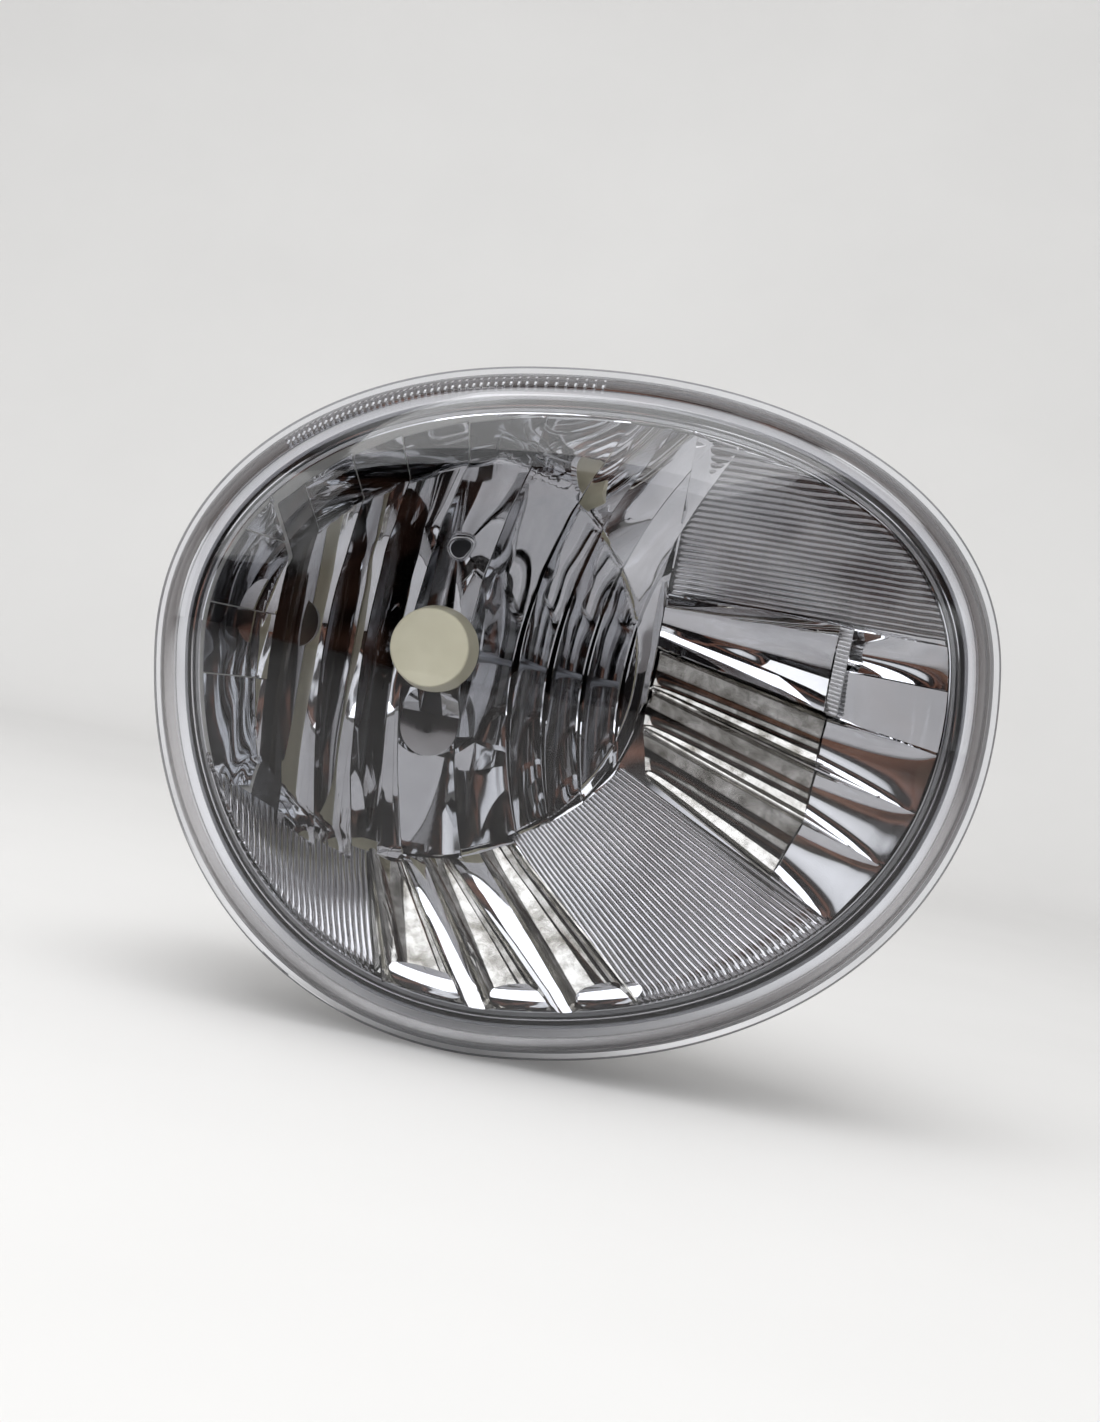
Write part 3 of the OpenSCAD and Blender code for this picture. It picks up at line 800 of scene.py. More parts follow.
def ruled(
    name: str, near: Curve, far: Curve, columns: int, rows: int, relief: Relief, wall: float = 0.35
) -> bpy.types.Object:
    """A patch of the reflector's front, ruled between two curves.

    Args:
        name: The object's name.
        near: The curve at the patch's near end.
        far: The curve at its far end.
        columns: Cells along the curves.
        rows: Cells from near to far.
        relief: Height over the shell, from the place along the curves and the place from near to far.
        wall: Thickness behind the front.

    Returns:
        The patch.
    """

    def shape(u: Array, v: Array) -> tuple[Array, Array, Array]:
        nx, nz = near(u)
        fx, fz = far(u)
        x, z = held_inside(nx + (fx - nx) * v, nz + (fz - nz) * v, -RIM_LAP)
        return x, z, SHELL.depth(x, z) + relief(u, v)

    piece = sheet(name, columns, rows, shape)
    turn_to_front(piece)
    add_modifier(piece, "SOLIDIFY", thickness=wall * MM, offset=-1.0)
    smooth(piece, 34)
    return piece


def turn_to_front(piece: bpy.types.Object) -> None:
    """Makes an open patch's faces look towards the lens."""
    make_active(piece)
    facing = sum(face.normal.y * face.area for face in piece.data.polygons)
    if facing > 0:
        bpy.ops.object.mode_set(mode="EDIT")
        bpy.ops.mesh.select_all(action="SELECT")
        bpy.ops.mesh.flip_normals()
        bpy.ops.object.mode_set(mode="OBJECT")


@dataclass
class BowlSteps:
    """The curved steps of the bowl, side by side from left to right."""

    lines: tuple[tuple[float, float], ...] = (
        (-37.5, 0.0045),
        (-34.2, 0.005),
        (-27.3, 0.005),
        (-19.2, 0.0048),
        (-9.7, 0.0058),
        (3.7, 0.0062),
        (16.0, 0.0078),
        (24.7, 0.0078),
        (33.5, 0.008),
        (42.7, 0.0066),
        (49.3, 0.0002),
    )
    ends: tuple[float, ...] = (50.5, 50.0, 49.2, 47.4, 46.0, 45.2, 44.8, 46.0, 47.6, 48.6)
    rises: tuple[float, ...] = (0.2, 1.4, 1.1, 1.2, 1.5, 1.6, 1.5, 1.3, 1.4, 1.2)
    waves: tuple[float, ...] = (0.0, 0.0, 0.03, 0.02, 0.0, 0.04, 0.06, 0.06, 0.06, 0.05)
    columns: int = 14
    rows: int = 110
    base: float = 0.5
    hollow: float = 0.5
    wall: float = 0.4
    rim_gap: float = 0.4

    def line(self, index: int, z: Array) -> Array:
        """Where a step's line is across, at heights z."""
        start, bend = self.lines[index]
        return start + np.where(z > 0, 0.9, 1.0) * bend * z * z

    def shape(self, index: int) -> Shape:
        """The shape of one step between its two lines."""
        low, rise, wave = self.ends[index], self.rises[index], self.waves[index]

        def across(u: Array, z: Array) -> Array:
            left, right = self.line(index, z), self.line(index + 1, z)
            return left + (right - left) * (0.004 + 0.992 * u)

        def shape(u: Array, v: Array) -> tuple[Array, Array, Array]:
            bottom, top = np.full_like(u, -40.0), np.full_like(u, 40.0)
            for _ in range(12):
                bottom = -np.sqrt(np.maximum(low**2 - across(u, bottom) ** 2, 9.0))
                top = BORDER.top(across(u, top))
            z = bottom + (top - bottom) * v
            x, z = held_inside(across(u, z), z, self.rim_gap)
            swell = wave * np.sin(z * 0.5 + index * 1.1) * np.exp(-(((z - 17) / 13) ** 2))
            relief = self.base + rise * u + self.hollow * (2 * u - 1) ** 2 + swell * np.sin(math.pi * u)
            return x, z, SHELL.depth(x, z) + relief

        return shape

    def build(self) -> None:
        """Builds every step as a piece of its own."""
        for index in range(len(self.lines) - 1):
            piece = sheet(f"bowl_step_{index}", self.columns, self.rows, self.shape(index))
            turn_to_front(piece)
            add_modifier(piece, "SOLIDIFY", thickness=self.wall * MM, offset=-1.0)
            smooth(piece, 34)
            # The leftmost step gets the nearly black chrome as painted shade for its deep gap; the others get
            # plain chrome.
            place(piece, REFLECTOR_BODY, "mirror_chrome", CHROME if index else PAINTED_SHADE_GAP)


def rib_wave(u: Array, count: int, height: float) -> Array:
    """Half-round ribs side by side."""
    across = (u * count) % 1.0
    return height * np.sqrt(np.maximum(0.0, 1 - (2 * across - 1) ** 2))


@dataclass
class RibbedFields:
    """The three fields of fine ribs: upper right, lower right and lower left."""

    height: float = 0.42
    base: float = 0.5

    def ribs(self, count: int, bead: float, bulge: float = 0.0) -> Relief:
        """Ribs along a patch, with a row of beads along its far end.

        Args:
            count: How many ribs.
            bead: Share of the patch's length that the beads take, or 0 for none.
            bulge: How far the middle of the patch swells.

        Returns:
            The relief.
        """

        def relief(u: Array, v: Array) -> Array:
            run = v / (1 - bead) if bead else v * 0.5
            body = rib_wave(u, count, self.height) * np.clip((1 - run) * 30, 0, 1)
            along = np.clip((v - (1 - bead)) / max(bead, 1e-6), 0, 1)
            dots = rib_wave(u, count, self.height * 1.9) * np.sqrt(np.maximum(0, 1 - (2 * along - 1) ** 2))
            return self.base + body + (dots if bead else 0) + bulge * np.sin(math.pi * np.clip(v, 0, 1))

        return relief

    def build(self) -> None:
        """Builds the three fields."""
        upper = ruled(
            "upper_ribs",
            polyline((49.8, 21.5), (49.6, 54.5)),
            lambda u: BORDER.along(49.8 + 0 * u, 21.5 + 33.0 * u, 0.0),
            27 * 7,
            40,
            self.ribs(27, 0.0, 1.6),
        )
        place(upper, REFLECTOR_BODY, "mirror_chrome", RIBBED_CHROME)
        lower_right = ruled(
            "lower_right_ribs",
            arc(-21.0, -56.0, 50.0, 45.6),
            rim_arc(-22.6, -48.5),
            31 * 7,
            44,
            self.ribs(31, 0.035, 0.5),
        )
        place(lower_right, REFLECTOR_BODY, "mirror_chrome", RIBBED_CHROME)
        start = arc(-96.5, -141.5, 46.8, 50.6)
        lower_left = ruled(
            "lower_left_ribs",
            start,
            lambda u: BORDER.along(*start(u), -66.0),
            30 * 7,
            40,
            self.ribs(30, 0.05, 0.3),
        )
        place(lower_left, REFLECTOR_BODY, "mirror_chrome", RIBBED_CHROME)


@dataclass
class Flutes:
    """The hollow flutes below the bowl and to its right, with the lands between them."""

    sag: float = 4.4
    land: float = 5.0
    base: float = 0.5

    @staticmethod
    def growth(v: Array) -> Array:
        """How fully a flute or land has grown, from the bowl to the border."""
        return 0.35 + 0.65 * np.sqrt(v)

    def trough(self, sag: float, land: float, twist: float = 0.0) -> Relief:
        """A hollow between two ridges that deepens away from the bowl.

        Args:
            sag: How far the hollow goes below its ridges.
            land: Height of the ridges over the shell.
            twist: How much higher the far end's ridges are.

        Returns:
            The relief.
        """

        def relief(u: Array, v: Array) -> Array:
            grow = self.growth(v)
            hollow = np.sqrt(np.maximum(0, 1 - (2 * u - 1) ** 2))
            return self.base + (land - self.base) * grow + twist * v - sag * grow * hollow

        return relief

    def build(self) -> None:
        """Builds the flutes, their lands and the bright ends of the lower ones."""
        self.build_lower()
        self.build_right()

    def build_lower(self) -> None:
        """Builds the three flutes under the bowl."""
        near = (
            ((-4.6, -46.4), (2.6, -46.2)),
            ((7.4, -46.0), (13.6, -45.0)),
            ((19.6, -42.6), (26.4, -39.2)),
        )
        far = ((7.4, 25.2), (29.4, 44.0), (47.2, 60.6))
        for index, (start, (left, right)) in enumerate(zip(near, far)):
            end = self.rim_between(left, right)
            hollow = self.trough(self.sag, self.land)
            flute = ruled(f"lower_flute_{index}", polyline(*start), end, 36, 40, hollow)
            place(flute, REFLECTOR_BODY, "mirror_chrome", FLUTE_CHROME)
            self.build_crescent(index, left, right)
        lands = (
            ((2.6, -46.2), (7.4, -46.0), 25.2, 29.4),
            ((13.6, -45.0), (19.6, -42.6), 44.0, 47.2),
        )
        for index, (a, b, left, right) in enumerate(lands):
            land = ruled(
                f"lower_land_{index}",
                polyline(a, b),
                self.rim_between(left, right),
                10,
                30,
                self.ridge,
            )
            place(land, REFLECTOR_BODY, "mirror_chrome", CHROME)

    def ridge(self, u: Array, v: Array) -> Array:
        """The relief of a land: as high as the flutes' ridges, and rounded across."""
        return self.base + (self.land - self.base) * self.growth(v) + 0.5 * np.sin(math.pi * u)

    @staticmethod
    def rim_between(left: float, right: float) -> Curve:
        """The lower border's edge between two places across."""
        x, z = BORDER.points()
        low = z < -20
        order = np.argsort(x[low])
        bx, bz = x[low][order], z[low][order]

        def curve(u: Array) -> tuple[Array, Array]:
            across = left + (right - left) * u
            return across, np.interp(across, bx, bz)

        return curve

    def build_crescent(self, index: int, left: float, right: float) -> None:
        """Builds the bright lens-shaped end of a lower flute."""
        rim = self.rim_between(left, right)

        def shape(u: Array, v: Array) -> tuple[Array, Array, Array]:
            x, z = rim(u)
            half = 2.3 * np.sqrt(np.maximum(0.0, 1 - (2 * u - 1) ** 2)) + 0.02
            up = z + 2.5 + half * (2 * v - 1)
            crown = 0.9 * (1 - (2 * v - 1) ** 2) * (1 - (2 * u - 1) ** 2)
            return x, up, SHELL.apron_top + 3.2 + crown - 0.8 * (up - z)

        piece = sheet(f"flute_end_{index}", 40, 12, shape)
        turn_to_front(piece)
        add_modifier(piece, "SOLIDIFY", thickness=0.5 * MM, offset=-1.0)
        smooth(piece, 40)
        place(piece, REFLECTOR_BODY, "mirror_chrome", CHROME)

    def build_right(self) -> None:
        """Builds the three two-stage flutes to the right of the bowl."""
        near = ((49.4, 9.4), (49.4, 0.4), (49.8, -8.6), (52.4, -18.6))
        middle = ((87.4, 2.0), (87.2, -9.4), (87.0, -20.4), (82.5, -33.4))
        far = ((111.6, -2.0), (110.2, -14.8), (106.0, -27.2), (97.4, -40.6))
        for index in range(3):
            first = ruled(
                f"right_flute_{index}",
                polyline(near[index], near[index + 1]),
                polyline(middle[index], middle[index + 1]),
                40,
                40,
                self.trough(3.6, 4.6, 1.0),
            )
            place(first, REFLECTOR_BODY, "mirror_chrome", FLUTE_CHROME)
            second = ruled(
                f"right_flute_end_{index}",
                polyline(middle[index], middle[index + 1]),
                polyline(self.to_rim(far[index]), self.to_rim(far[index + 1])),
                40,
                24,
                self.scoop,
            )
            place(second, REFLECTOR_BODY, "mirror_chrome", CHROME)

    @staticmethod
    def to_rim(point: tuple[float, float]) -> tuple[float, float]:
        """Moves a point out or in along its direction to the border's edge."""
        angle = math.atan2(point[1], point[0])
        reach = float(SHELL.edge(np.array([angle]))[0])
        return reach * math.cos(angle), reach * math.sin(angle)

    @staticmethod
    def scoop(u: Array, v: Array) -> Array:
        """The second stage: a wider hollow that starts lower and rises to the border."""
        across = np.sqrt(np.maximum(0, 1 - (2 * u - 1) ** 2))
        return 0.5 + 2.4 * (1 - 0.75 * across) * (1 - v) + 0.9 * v + 1.3 * np.abs(2 * u - 1) ** 6 * (1 - v)


@dataclass
class SidePanels:
    """The pocket and flat panels to the right of the bowl, and the small panels at its left."""

    gap: float = 0.25

    def build(self) -> None:
        """Builds the panels on both sides."""
        self.build_right()
        self.build_left()

    def build_right(self) -> None:
        """Builds the pocket, the fine-toothed strip and the two panels beside it."""
        pocket = ruled(
            "right_pocket",
            polyline((49.6, 9.8), (49.6, 21.0)),
            polyline((86.6, 2.6), (86.6, 20.6)),
            40,
            60,
            lambda u, v: 0.5 + 3.4 * (2 * u - 1) ** 2 + 3.6 * (2 * v - 1) ** 2,
        )
        place(pocket, REFLECTOR_BODY, "mirror_chrome", CHROME)
        strip = ruled(
            "toothed_strip",
            polyline((86.9, 2.2), (86.9, 20.6)),
            polyline((89.4, 1.8), (89.4, 20.4)),
            21 * 6,
            6,
            lambda u, v: 5.0 + rib_wave(u, 21, 0.4) + 0.8 * v,
        )
        place(strip, REFLECTOR_BODY, "mirror_chrome", FROSTED_CHROME)
        flat = ruled(
            "right_panel",
            polyline((89.7, 1.6), (89.7, 11.6)),
            lambda u: BORDER.along(89.7 + 0 * u, -1.4 + 12.6 * u, 0.0),
            12,
            24,
            lambda u, v: 3.4 - 1.6 * v + 1.2 * u + 0.5 * np.sin(math.pi * v),
        )
        place(flat, REFLECTOR_BODY, "mirror_chrome", CHROME)
        upper = ruled(
            "right_upper_panel",
            polyline((89.7, 11.9), (89.7, 20.4)),
            lambda u: BORDER.along(89.7 + 0 * u, 11.5 + 8.8 * u, 0.0),
            16,
            24,
            lambda u, v: 1.2 + 3.4 * (2 * u - 1) ** 2 * (1 - v) + 1.0 * v,
        )
        place(upper, REFLECTOR_BODY, "mirror_chrome", CHROME)

    def build_left(self) -> None:
        """Builds the stacked panels between the bowl's first step and the border."""
        steps = BowlSteps()
        rows = (
            (-37.0, -14.5, 2.0, 0.4),
            (-14.2, 0.6, 1.3, 1.6),
            (0.9, 17.0, 2.2, 0.8),
            (17.3, 24.4, 1.2, 1.8),
        )
        for index, (low, high, lift, lean) in enumerate(rows):

            def inner(u: Array, low: float = low, high: float = high) -> tuple[Array, Array]:
                z = low + (high - low) * u
                return steps.line(0, z) - self.gap, z

            def outer(u: Array, low: float = low, high: float = high) -> tuple[Array, Array]:
                z = low + (high - low) * u
                return BORDER.along(steps.line(0, z) - self.gap, z, 180.0)

            def relief(
                u: Array, v: Array, lift: float = lift, lean: float = lean, start: int = index
            ) -> Array:
                swirl = 0.35 * np.sin(9 * v + 5 * u + start) * np.sin(math.pi * v) ** 2
                return 0.5 + lift * (1 - v) + lean * u * (1 - v) + swirl

            panel = ruled(f"left_panel_{index}", inner, outer, 40, 26, relief)
            place(panel, REFLECTOR_BODY, "mirror_chrome", CHROME)


@dataclass
class ReflectorBody:
    """The reflector's moulded body, with its neck, its pivot posts and the pads over the aim yoke."""

    wall: float = 2.2
    hole: float = 11.0
    neck_radius: float = 20.0
    neck_back: float = 12.0
    rings: int = 40
    thin_edge: float = 0.32
    thin_reach: float = 6.0
    steepest: float = 2.2
    posts: tuple[float, float] = (-35.0, 50.0)
    aim: tuple[float, float] = (30.0, -52.0)

    def build(self) -> None:
        """Builds the body in one piece that stands for the frame's plain reflector."""
        parts = [self.build_skin(), self.build_neck(), self.build_pad(-1), self.build_pad(1)]
        for across in self.posts:
            parts.append(self.build_post(across))
        body = join("reflector_shell", parts)
        smooth(body, 35)
        dress(body, CHROME, BULK_MOULDING)
        for face in body.data.polygons:
            face.material_index = 0 if face.normal.y < -0.25 and self.in_front(face.center) else 1
        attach(body, REFLECTOR_BODY)
        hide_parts("reflector")
        log.info("%s: %d faces on %s", body.name, len(body.data.polygons), REFLECTOR_BODY)

    @staticmethod
    def in_front(centre: Vector) -> bool:
        """Whether a point lies on the metallised side of the wall."""
        x, z, depth = centre.x / MM, centre.z / MM, -centre.y / MM
        return depth > float(SHELL.depth(np.array([x]), np.array([z]))[0]) - 0.6

    def build_skin(self) -> bpy.types.Object:
        """Builds the shell: its front, its narrow lip and its back."""
        count = self.rings
        steps = 2 * count + 3

        def shape(u: Array, v: Array) -> tuple[Array, Array, Array]:
            angle = 2 * math.pi * u - math.pi
            index = np.rint(v * steps).astype(int)
            reach = OUTLINE.reach(angle, SHELL.border_outside)
            edge = SHELL.edge(angle)
            front = index <= count
            back = (index >= count + 3) & (index < steps)
            returning = np.where(back, (steps - 1 - index) / (count - 1), 0.0)
            share = np.where(front, index / count, returning)
            radius = np.where(front | back, self.hole + (edge - self.hole) * share, self.hole)
            x, z = radius * np.cos(angle), radius * np.sin(angle)
            depth = SHELL.depth(x, z)
            slope = (SHELL.depth(x * 1.01, z * 1.01) - depth) / (0.01 * radius)
            steep = np.clip(slope, 0, self.steepest)
            thinner = np.clip(self.thin_edge + (edge - radius) / self.thin_reach, 0.0, 1.0)
            depth = np.where(back, depth - self.wall * thinner * np.sqrt(1 + steep**2), depth)
            lips = ((-0.35, SHELL.border_front), (0.0, SHELL.border_front - 0.3))
            for k, (inset, level) in enumerate(lips):
                lip = index == count + 1 + k
                x = np.where(lip, (reach + inset) * np.cos(angle), x)
                z = np.where(lip, (reach + inset) * np.sin(angle), z)
                depth = np.where(lip, level, depth)
            return x, z, depth

        skin = sheet("shell_skin", 360, steps, shape)
        face_outwards(skin)
        return skin

    def build_neck(self) -> bpy.types.Object:
        """Builds the neck that the bulb's ring is screwed to."""
        back, outside, seat = self.neck_back, self.neck_radius, self.hole + 3.5
        return turned(
            "neck",
            (
                (outside, 24.5),
                (outside, back + 0.4),
                (outside - 0.4, back),
                (seat, back),
                (seat, back + 2.6),
                (self.hole, back + 2.6),
                (self.hole, 20.6),
                (self.hole + 3, 20.6),
            ),
            96,
        )

    def build_post(self, across: float) -> bpy.types.Object:
        """Builds a post round a pivot socket."""
        top = float(SHELL.depth(np.array([across]), np.array([0.0]))[0]) - 1.2
        outside = ((6.1, top), (6.1, 25.6), (5.7, 25.2), (4.52, 25.2))
        profile = (*outside, (4.52, 31.8), (0.05, 31.8), (0.05, top))
        return tube_at("post", across, 0.0, profile)

    def build_pad(self, side: int) -> bpy.types.Object:
        """Builds one of the two pads over the aim yoke, either side of the screw's end."""
        x, z = self.aim
        low, high = sorted((x + side * 3.4, x + side * 7.3))
        return rounded_box("pad", (low, z - 5.5, 54.05), (high, z + 5.5, 57.6), 0.4)


@dataclass
class ReflectorTrim:
    """The teardrop hole over the shield and the recess behind the stay's window, each given a black floor or
    plate as painted shade.
    """

    def build(self) -> None:
        """Builds the trim."""
        self.build_keyhole()
        # Black plate: painted shade for the shaded recess behind the stay's window.
        recess = rounded_box("stay_recess_painted_shade", (-3.0, -15.4, 27.2), (3.0, -9.0, 27.8), 0.2)
        place(recess, REFLECTOR_BODY, "black_plastic", BLACK_NYLON)

    def build_keyhole(self) -> None:
        """Builds the teardrop hole's raised edge in the bowl above the shield, and a black floor inside it as
        painted shade.
        """
        centre_x, centre_z = -1.0, 24.2
        steps = 48

        def around(angle: Array, radius: float) -> tuple[Array, Array]:
            stretch = 1 + 0.55 * np.maximum(0, np.cos(angle - math.radians(35))) ** 6
            x = centre_x + radius * stretch * np.cos(angle)
            return x, centre_z + radius * stretch * np.sin(angle)

        def shape(u: Array, v: Array) -> tuple[Array, Array, Array]:
            x, z = around(2 * math.pi * u, 2.35)
            turn = 2 * math.pi * v
            nx, nz = x - centre_x, z - centre_z
            size = np.hypot(nx, nz)
            x, z = x + 0.55 * np.cos(turn) * nx / size, z + 0.55 * np.cos(turn) * nz / size
            return x, z, SHELL.bowl(x, z) + 2.0 + 0.55 * np.sin(turn)

        edge = sheet("keyhole_edge", steps, 14, shape)
        face_outwards(edge)
        smooth(edge, 60)
        place(edge, REFLECTOR_BODY, "mirror_chrome", CHROME)

        # The hole's floor is a black sheet: painted shade for the dark inside of the hole.
        def painted_shade_pit(u: Array, v: Array) -> tuple[Array, Array, Array]:
            x, z = around(2 * math.pi * u, 2.3)
            x, z = centre_x + (x - centre_x) * v, centre_z + (z - centre_z) * v
            return x, z, SHELL.bowl(x, z) + 1.75 + 0.15 * v * v

        floor = sheet("keyhole_painted_shade", steps, 6, painted_shade_pit)
        turn_to_front(floor)
        add_modifier(floor, "SOLIDIFY", thickness=0.2 * MM, offset=-1.0)
        place(floor, REFLECTOR_BODY, "black_plastic", BLACK_NYLON)


# ---------- lens ----------


@dataclass
class DomedLens:
    """The clear domed lens with its flange and the tongue that stands in the housing's groove."""

    rim_front: float = 73.5
    height: float = 30.5
    skirt: float = -2.2
    wall: float = 2.6
    steps: int = 300
    side: tuple[tuple[float, float], ...] = ((0, 0.16), (1, 0.34), (3.2, 0.5), (8, 0.63))
    dome: tuple[tuple[float, float], ...] = (
        (0.77, 0.86),
        (0.86, 0.7),
        (0.94, 0.46),
        (0.985, 0.22),
        (1.0, 0.0),
    )
    tick_count: int = 46
    tick_start: float = 83.0
    tick_pitch: float = 1.08

    def outside(self) -> Array:
        """Rows of grow, size and depth up the outside, from the flange to the top."""
        front, height = self.rim_front, self.height
        rows = [(self.skirt - inset, 1.0, front + height * share) for inset, share in self.side]
        rows += [(self.skirt - 8, size, front + height * share) for share, size in self.dome]
        return self.rounded(np.array(rows))

    def inside(self) -> Array:
        """Rows of grow, size and depth up the inside."""
        rows = [
            (
                self.skirt - self.wall - inset * 1.05,
                1.0,
                max(77.4, self.rim_front + self.height * share - self.wall * (0.2 + inset / 12)),
            )
            for inset, share in self.side
        ]
        rows += [
            (self.skirt - self.wall - 8, size, self.rim_front + self.height * share - self.wall)
            for share, size in self.dome
        ]
        return self.rounded(np.array(rows))

    @staticmethod
    def rounded(rows: Array, samples: int = 220, window: int = 31) -> Array:
        """A path through rows with its corners rounded.

        Args:
            rows: The path's rows.
            samples: How finely it is walked.
            window: Samples averaged at each place.

        Returns:
            Every fourth row of the rounded path, with its ends kept.
        """
        size_run = np.abs(np.diff(rows[:, 1])) * 80
        lengths = np.hypot(np.hypot(np.diff(rows[:, 0]), size_run), np.diff(rows[:, 2]))
        run = np.concatenate([[0], np.cumsum(lengths)])
        at = np.linspace(0, run[-1], samples)
        fine = np.column_stack([np.interp(at, run, rows[:, k]) for k in range(3)])
        half = window // 2
        before, after = fine[half:0:-1], fine[-2 : -half - 2 : -1]
        ends = np.concatenate([2 * fine[0] - before, fine, 2 * fine[-1] - after])
        kernel = np.ones(window) / window
        soft = np.column_stack([np.convolve(ends[:, k], kernel, "valid") for k in range(3)])
        soft[0], soft[-1] = fine[0], fine[-1]
        return np.vstack([soft[:-1:4], soft[-1:]])

    def build(self) -> None:
        """Builds the lens and the small ribs inside its upper wall."""
        up, down = self.outside(), self.inside()[::-1]
        flange = np.array(
            [
                (-8.6, 1.0, 77.0),
                (-8.6, 1.0, 69.2),
                (-6.8, 1.0, 69.2),
                (-6.8, 1.0, 74.0),
                (-0.35, 1.0, 74.0),
                (0.0, 1.0, 74.3),
                (0.0, 1.0, 76.3),
                (-0.4, 1.0, 76.8),
                (-1.6, 1.0, 77.0),
            ]
        )
        rows = np.vstack([down, flange, up])
        steps = len(rows) - 1

        def shape(u: Array, v: Array) -> tuple[Array, Array, Array]:
            row = rows[np.rint(v * steps).astype(int)]
            x, z = OUTLINE.points(2 * math.pi * u, row[:, 0])
            x = OUTLINE.across + (x - OUTLINE.across) * row[:, 1]
            z = OUTLINE.height + (z - OUTLINE.height) * row[:, 1]
            return x, z, row[:, 2]

        piece = sheet("lens_dome", self.steps, steps, shape)
        face_outwards(piece)
        smooth(piece, 38)
        place(piece, ROOT, "lens_clear", LENS_CLEAR)
        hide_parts("lens")
        self.build_ticks()

    def build_ticks(self) -> None:
        """Builds two rows of small ribs on the inside of the lens's upper wall, in opaque white as a painted
        glint.
        """
        parts = []
        for inset, depth, tall in ((-4.0, 81.0, 1.1), (-5.9, 84.4, 0.9)):
            for k in range(self.tick_count):
                angle = np.array([math.radians(self.tick_start + self.tick_pitch * k)])
                x, z = (float(place[0]) for place in OUTLINE.points(angle, inset))
                low, high = (x - 0.22, z - 0.35, depth - tall), (x + 0.22, z + 0.35, depth + tall)
                parts.append(rounded_box("tick", low, high, 0.0))
        piece = join("lens_top_ribs", parts)
        # The ribs' white is a painted glint of light in clear ribs.
        place(piece, ROOT, "lens_clear", LENS_RIBS_PAINTED_GLINT)


# ---------- housing and boot ----------


def softened(profile: Sequence[tuple[float, float]], rounds: int = 2) -> list[tuple[float, float]]:
    """A closed profile with its corners cut, as soft rubber or a moulding has.

    Args:
        profile: The profile's corners.
        rounds: How often the corners are cut.

    Returns:
        The rounder profile.
    """
    points = np.array(profile, float)
    for _ in range(rounds):
        following = np.roll(points, -1, axis=0)
        cuts = [0.78 * points + 0.22 * following, 0.22 * points + 0.78 * following]
        points = np.stack(cuts, 1).reshape(-1, 2)
    return [tuple(map(float, point)) for point in points]


